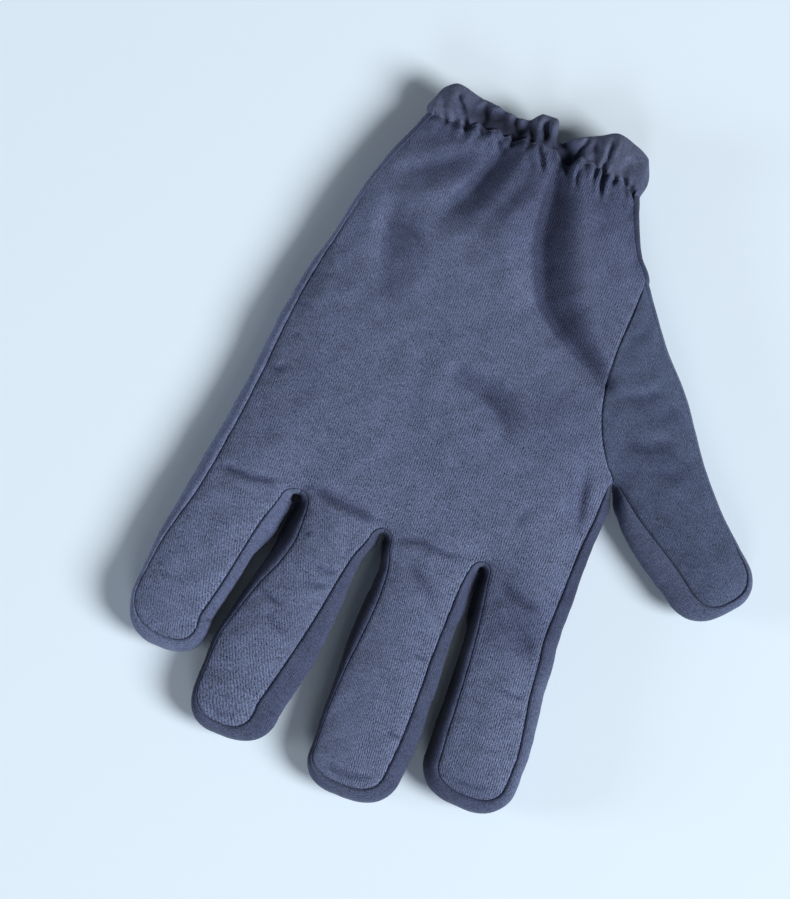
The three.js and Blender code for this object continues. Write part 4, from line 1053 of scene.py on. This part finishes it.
def section(points, normals, along, depth=0.0, inset=0.0, relief=True):
    """The strip's sections at seam points, from the front seam round the bulge to the back seam."""
    share = graded(SECTION_STEPS, EDGE_GRADING)
    angle = share[None, :] * np.pi
    top = height["seam"](points[:, 1])[:, None]
    middle, half = (top + BACK_SEAM_HEIGHT) / 2, (top - BACK_SEAM_HEIGHT) / 2
    bulge = points[:, 2:3]
    out = (bulge + inset - depth) * np.sin(angle) - inset
    out = out + web_fullness(points, normals)[:, None] * np.sin(angle) * smoothstep(*WEB_TURN, share)
    up = (half - depth) * np.cos(angle)
    from_front = np.hypot(bulge * np.sin(angle), half * (1 - np.cos(angle)))
    from_back = np.hypot(bulge * np.sin(angle), half * (1 + np.cos(angle)))
    from_seam = np.where(angle < np.pi / 2, from_front, from_back)
    if relief:
        free = 1 - bell(from_seam / STRIP_FREE)
        lift = -SEAM_GROOVE * bell(from_seam / SEAM_GROOVE_WIDTH) * seam_shown(points)[:, None]
        lip, lip_place, lip_width = STRIP_LIP
        full = np.minimum(1, bulge / STRIP_LIP_BULGE)
        lift = lift + lip * bell((from_front - lip_place) / lip_width) * full
        wrinkle = sum(
            size * noise(along[:, None] / run, share[None, :] * turns, seed)
            for size, run, turns, seed in STRIP_WRINKLES
        )
        lift = lift + free * np.minimum(1, bulge / STRIP_WRINKLE_BULGE) * wrinkle
        lift = lift - SIDE_GROOVE * bell((points[:, 1:2] - ELASTIC_Y) / ELASTIC_GROOVE_WIDTH) * free
        out = out + lift * np.sin(angle)
        up = up + lift * np.cos(angle)
    xy = points[:, None, :2] + normals[:, None] * out[..., None]
    z = np.maximum(middle + up, FLOOR_CLEARANCE)
    return np.concatenate([xy, z[..., None]], -1), from_seam


def grid_faces(rows, cols):
    ids = np.arange(rows * cols).reshape(rows, cols)
    quads = np.stack([ids[:-1, :-1], ids[:-1, 1:], ids[1:, 1:], ids[1:, :-1]], -1)
    return quads.reshape(-1, 4).tolist()


def strip_shades(points, normals, outer, from_seam):
    """How far the nearest seam lies, and the strip's painted shade low down between the fingers, by the thumb
    and by the cuff, with the patches of painted light and shade.
    """
    x, y = points[:, :1], points[:, 1:2]
    inner = smoothstep(*BETWEEN_X[0], x) * (1 - smoothstep(*BETWEEN_X[1], x))
    between = inner * smoothstep(*BETWEEN_Y, y)
    between = between * (1 - BETWEEN_TIP * normals[:, 1:2] ** 2)
    low = smoothstep(*BETWEEN_TURN, np.linspace(0, 1, SECTION_STEPS + 1))[None, :]
    darker = between * low * (BETWEEN_SHADE[0] + BETWEEN_SHADE[1] * np.maximum(0, normals[:, :1]))
    by_thumb = painted_light_and_shade_tone(outer[..., :2], [THUMB_WEB_SHADE])
    by_cuff = lerp(np.where(x > 0, *HEM_BY_SEAM), 1, smoothstep(*STRIP_EVEN, y))
    tone = (1 - darker) * painted_light_and_shade_tone(outer[..., :2]) * by_thumb * by_cuff
    seam = from_seam + SEAM_HIDDEN * (1 - seam_shown(points)[:, None])
    return {"seam": seam.ravel(), "tone": tone.ravel()}


outline_along = length_along(outline)
strip_sections = {}
for name, first, last in zip(STRETCHES, [0, *stretch_ends], stretch_ends):
    points, normals, along = (v[first : last + 1] for v in (outline, outline_normal, outline_along))
    outer, from_seam = section(points, normals, along)
    inner, _ = section(points, normals, along, depth=WALL, relief=False)
    strip_sections[name] = (outer, points, normals, along)
    steps = np.linalg.norm(np.diff(outer, axis=1, prepend=outer[:, :1]), axis=-1)
    around = np.cumsum(steps, axis=1)
    weave = np.stack([around, np.broadcast_to(along[:, None], around.shape)], -1)
    build(name.replace("strip_", "side_"), name, outer.reshape(-1, 3), inner.reshape(-1, 3),
          grid_faces(*outer.shape[:2]), weave.reshape(-1, 2), strip_shades(points, normals, outer, from_seam),
          side_cloth_painted_light if name == "strip_little" else strip_cloth_painted_shade)


# The cuff
def wrist_loop(row, depth):
    """The wrist as a loop of points at one row of the hand, a given depth inside the outer face."""
    y = hand_rows[row]
    count = len(hand_rows)
    inset = depth * CORNER_INSET
    left, right = palm_edge["left"](y), palm_edge["right"](y)
    middle, narrowing = (left + right) / 2, 1 - 2 * inset / (right - left)
    ends = []
    for name, at in (("strip_little", row), ("strip_thumb", -1 - row)):
        outer, points, normals, along = strip_sections[name]
        picked = [v[at][None] for v in (points, normals, along)]
        side = outer[at] if depth == 0 else section(*picked, depth, inset, relief=False)[0][0]
        ends.append(side[1:-1])
    fronts = palm[front_rows[row]] + depth * down
    backs = back_points[back_rows[row]] - depth * down
    for face in (fronts, backs):
        face[:, 0] = middle + (face[:, 0] - middle) * narrowing
    loop = np.vstack([fronts, ends[0], backs[::-1], ends[1][::-1]])
    return np.vstack([loop, loop[:1]])


front_count = len(front_rows[0])
back_count = len(back_rows[0])
side_shares = graded(SECTION_STEPS, EDGE_GRADING)[1:-1]
back_share = np.concatenate([np.zeros(front_count), side_shares, np.ones(back_count), side_shares[::-1], [0]])
elastic = wrist_loop(0, 0)
plain_front = front_plain(front_xy[front_rows[0]], front_seam[front_rows[0]])
plain_z = np.concatenate([plain_front, elastic[front_count:-1, 2], plain_front[:1]])


def ruffle_form(t):
    """The ruffle at a share of its way from the elastic to the rim, and how deep its cloth lies there."""
    x = elastic[:, 0]
    front_part = 1 - smoothstep(0, RUFFLE_FRONT, back_share)
    front_y = rim_front["y"](x) - rim_lobe["reach"](x)
    rim_y = lerp(front_y, np.maximum(rim_back["y"](x), front_y + BACK_RIM_SHORT), back_share)
    rim_z = lerp(rim_front["z"](x), rim_back["z"](x), back_share) + front_part * rim_lobe["rise"](x)
    y = lerp(elastic[:, 1], rim_y, t)
    z = lerp(plain_z, rim_z, t) + RUFFLE_PUFF * np.sin(np.pi * t) * front_part
    run = elastic[:, 1] - y
    z -= (plain_z - elastic[:, 2]) * bell(run / ELASTIC_GROOVE_WIDTH)
    sets_in = smoothstep(0, RUFFLE_SETS_IN, run)
    sink = ruffle_sink(x) * sets_in * (1 - smoothstep(*RUFFLE_SINK_ENDS, run))
    by_rim = 1 - RIM_CALM * smoothstep(RIM_CALM_FROM, 1, t)
    creases = crease_depth(CUFF_CREASES, np.column_stack([x, y])) * sets_in * by_rim
    depth = front_part * (sink + creases)
    fine = 0.4 * noise(x / 3.1 + 0.1 * run, run / 7, 51) + 0.3 * noise(x / 7, run / 9, 52)
    z += front_part * fine * by_rim * smoothstep(0, RUFFLE_FINE_RUN, run) - depth
    z = np.maximum(z, np.where(front_part > 0.5, RUFFLE_LEAST_HEIGHT, FLOOR_CLEARANCE))
    wider = RUFFLE_FLARE * np.sin(np.pi * 0.8 * t) ** 1.5 * ((x - x.mean()) / np.ptp(x) * 2) ** 3
    return np.column_stack([x + wider, y, z]), depth


def ruffle_loop(t, depth):
    moved = wrist_loop(0, depth) - elastic if depth else 0
    return ruffle_form(t)[0] + moved


RUFFLE_SHARES = np.linspace(1, 0, RUFFLE_STEPS + 1) ** RUFFLE_GRADING
around = np.cumsum(np.hypot(*np.diff(elastic[:, [0, 2]], axis=0, prepend=elastic[:1, [0, 2]]).T))
outer_loops = [ruffle_loop(t, 0) for t in RUFFLE_SHARES]
inner_loops = [ruffle_loop(t, WALL) for t in RUFFLE_SHARES]
rim_out, rim_in = outer_loops[0], inner_loops[0]
away = rim_out - outer_loops[1]
away /= np.linalg.norm(away, axis=1, keepdims=True)


def rim_turn(degrees):
    """The turned edge of the rim, from its outer face (0 degrees) to its inner face (180)."""
    angle = math.radians(degrees)
    return lerp(rim_out, rim_in, (1 - math.cos(angle)) / 2) + away * (WALL / 2) * math.sin(angle)


def cuff_weave(rows):
    """The weave of rows of points round the cuff, with each row's place along the cloth."""
    return np.vstack([np.column_stack([around, np.full(len(around), row)]) for row in rows])


RUFFLE_LENGTH = 12.0
FAR_FROM_SEAM = 9.0
ELASTIC_FROM_SEAM = 0.25
seam_rows = [np.full(len(around), FAR_FROM_SEAM)] * len(RIM_TURNS)
seam_rows += [np.hypot(*(loop - elastic)[:, 1:].T) + ELASTIC_FROM_SEAM for loop in outer_loops]
outer_loops = [rim_turn(a) for a in RIM_TURNS] + outer_loops
inner_loops = [rim_turn(180 - a) for a in RIM_TURNS] + inner_loops
hem_shares = np.concatenate([np.ones(len(RIM_TURNS)), RUFFLE_SHARES])
# Painted shade where the ruffle sinks in behind the lobes of the hand and in its creases, with its patches of
# painted light and shade.
tone_rows = []
for t in hem_shares:
    points, depth = ruffle_form(t)
    shade = 1 - HEM_SHADE * smoothstep(*HEM_SHADE_DEPTH, depth)
    tone_rows.append(shade * painted_light_and_shade_tone(points, RUFFLE_PAINTED_LIGHT_AND_SHADE))
build("cuff_hem", "cuff_ruffle", np.vstack(outer_loops), np.vstack(inner_loops),
      grid_faces(len(outer_loops), len(around)), cuff_weave(RUFFLE_LENGTH * (1 - hem_shares)),
      {"seam": np.concatenate(seam_rows), "tone": np.concatenate(tone_rows)}, hem_cloth_painted_shade)

lining_depth = WALL + LINING_GAP
lining_rows = [i for i, y in enumerate(hand_rows) if LINING_ROWS[0] < y <= LINING_ROWS[1]][::2]
outside, inside = (
    [ruffle_loop(t, d) for t in LINING_SHARES] + [wrist_loop(row, d) for row in lining_rows]
    for d in (lining_depth, lining_depth + LINING_WALL)
)
LINING_PITCH = 1.5
build("inner_lining", "cuff_lining", np.vstack(outside), np.vstack(inside),
      grid_faces(len(outside), len(around)), cuff_weave(LINING_PITCH * np.arange(len(outside))), {},
      dark_lining)


# Floor, light and camera
def frame_point(x, y, z):
    return Vector((np.array([x, y, z]) - PATTERN_ORIGIN) * 0.001)


VIEW_TURN = math.radians(22)
image_right = Vector((-math.cos(VIEW_TURN), -math.sin(VIEW_TURN), 0))
image_down = Vector((-math.sin(VIEW_TURN), math.cos(VIEW_TURN), 0))
CAMERA_DISTANCE = 1.1
CAMERA_ELEVATION = math.radians(86)
SEEN_HEIGHT = 0.3102  # of the plane through the aim point

bpy.ops.mesh.primitive_plane_add(size=6, location=(0, 0, -0.0002))
floor = bpy.context.object
floor.name = "floor"
floor.data.materials.append(floor_paint("floor_paint"))

world = bpy.data.worlds.new("studio")
bpy.context.scene.world = world
world.use_nodes = True
sky = world.node_tree.nodes["Background"].inputs
sky[0].default_value = (0.9, 0.95, 1.0, 1)
sky[1].default_value = 0.1


def soft_light(name, place, size, power, colour):
    data = bpy.data.lights.new(name, "AREA")
    data.shape = "DISK"
    data.size = size
    data.energy = power
    data.color = colour
    lamp = bpy.data.objects.new(name, data)
    lamp.location = place
    lamp.rotation_mode = "QUATERNION"
    lamp.rotation_quaternion = (frame_point(0, 120, 5) - place).to_track_quat("-Z", "Y")
    bpy.context.scene.collection.objects.link(lamp)


aim = frame_point(7.3, 120, 7)
key_side = (image_right * 0.9 + image_down * 0.43).normalized()
soft_light("key_light", aim + key_side * 3.6 + Vector((0, 0, 2.55)), 2.1, 254.0, (1.0, 0.99, 0.97))
soft_light("fill_light", aim + image_down * 2.4 + Vector((0, 0, 1.43)), 1.05, 13.0, (0.95, 0.97, 1.0))
soft_light("side_light", aim - image_right * 2.25 + Vector((0, 0, 0.54)), 0.75, 21.0, (0.97, 0.98, 1.0))

camera = bpy.data.objects.new("camera", bpy.data.cameras.new("camera"))
bpy.context.scene.collection.objects.link(camera)
back_dir = (image_down * math.cos(CAMERA_ELEVATION) + Vector((0, 0, math.sin(CAMERA_ELEVATION)))).normalized()
up_dir = back_dir.cross(image_right)
camera.matrix_world = Matrix.Translation(aim + back_dir * CAMERA_DISTANCE) @ Matrix(
    (image_right, up_dir, back_dir)
).transposed().to_4x4()
camera.data.sensor_width = 36
camera.data.lens = 36 * CAMERA_DISTANCE / SEEN_HEIGHT
camera.data.clip_start, camera.data.clip_end = 0.05, 20
bpy.context.scene.camera = camera
bpy.context.scene.view_settings.view_transform = "Standard"
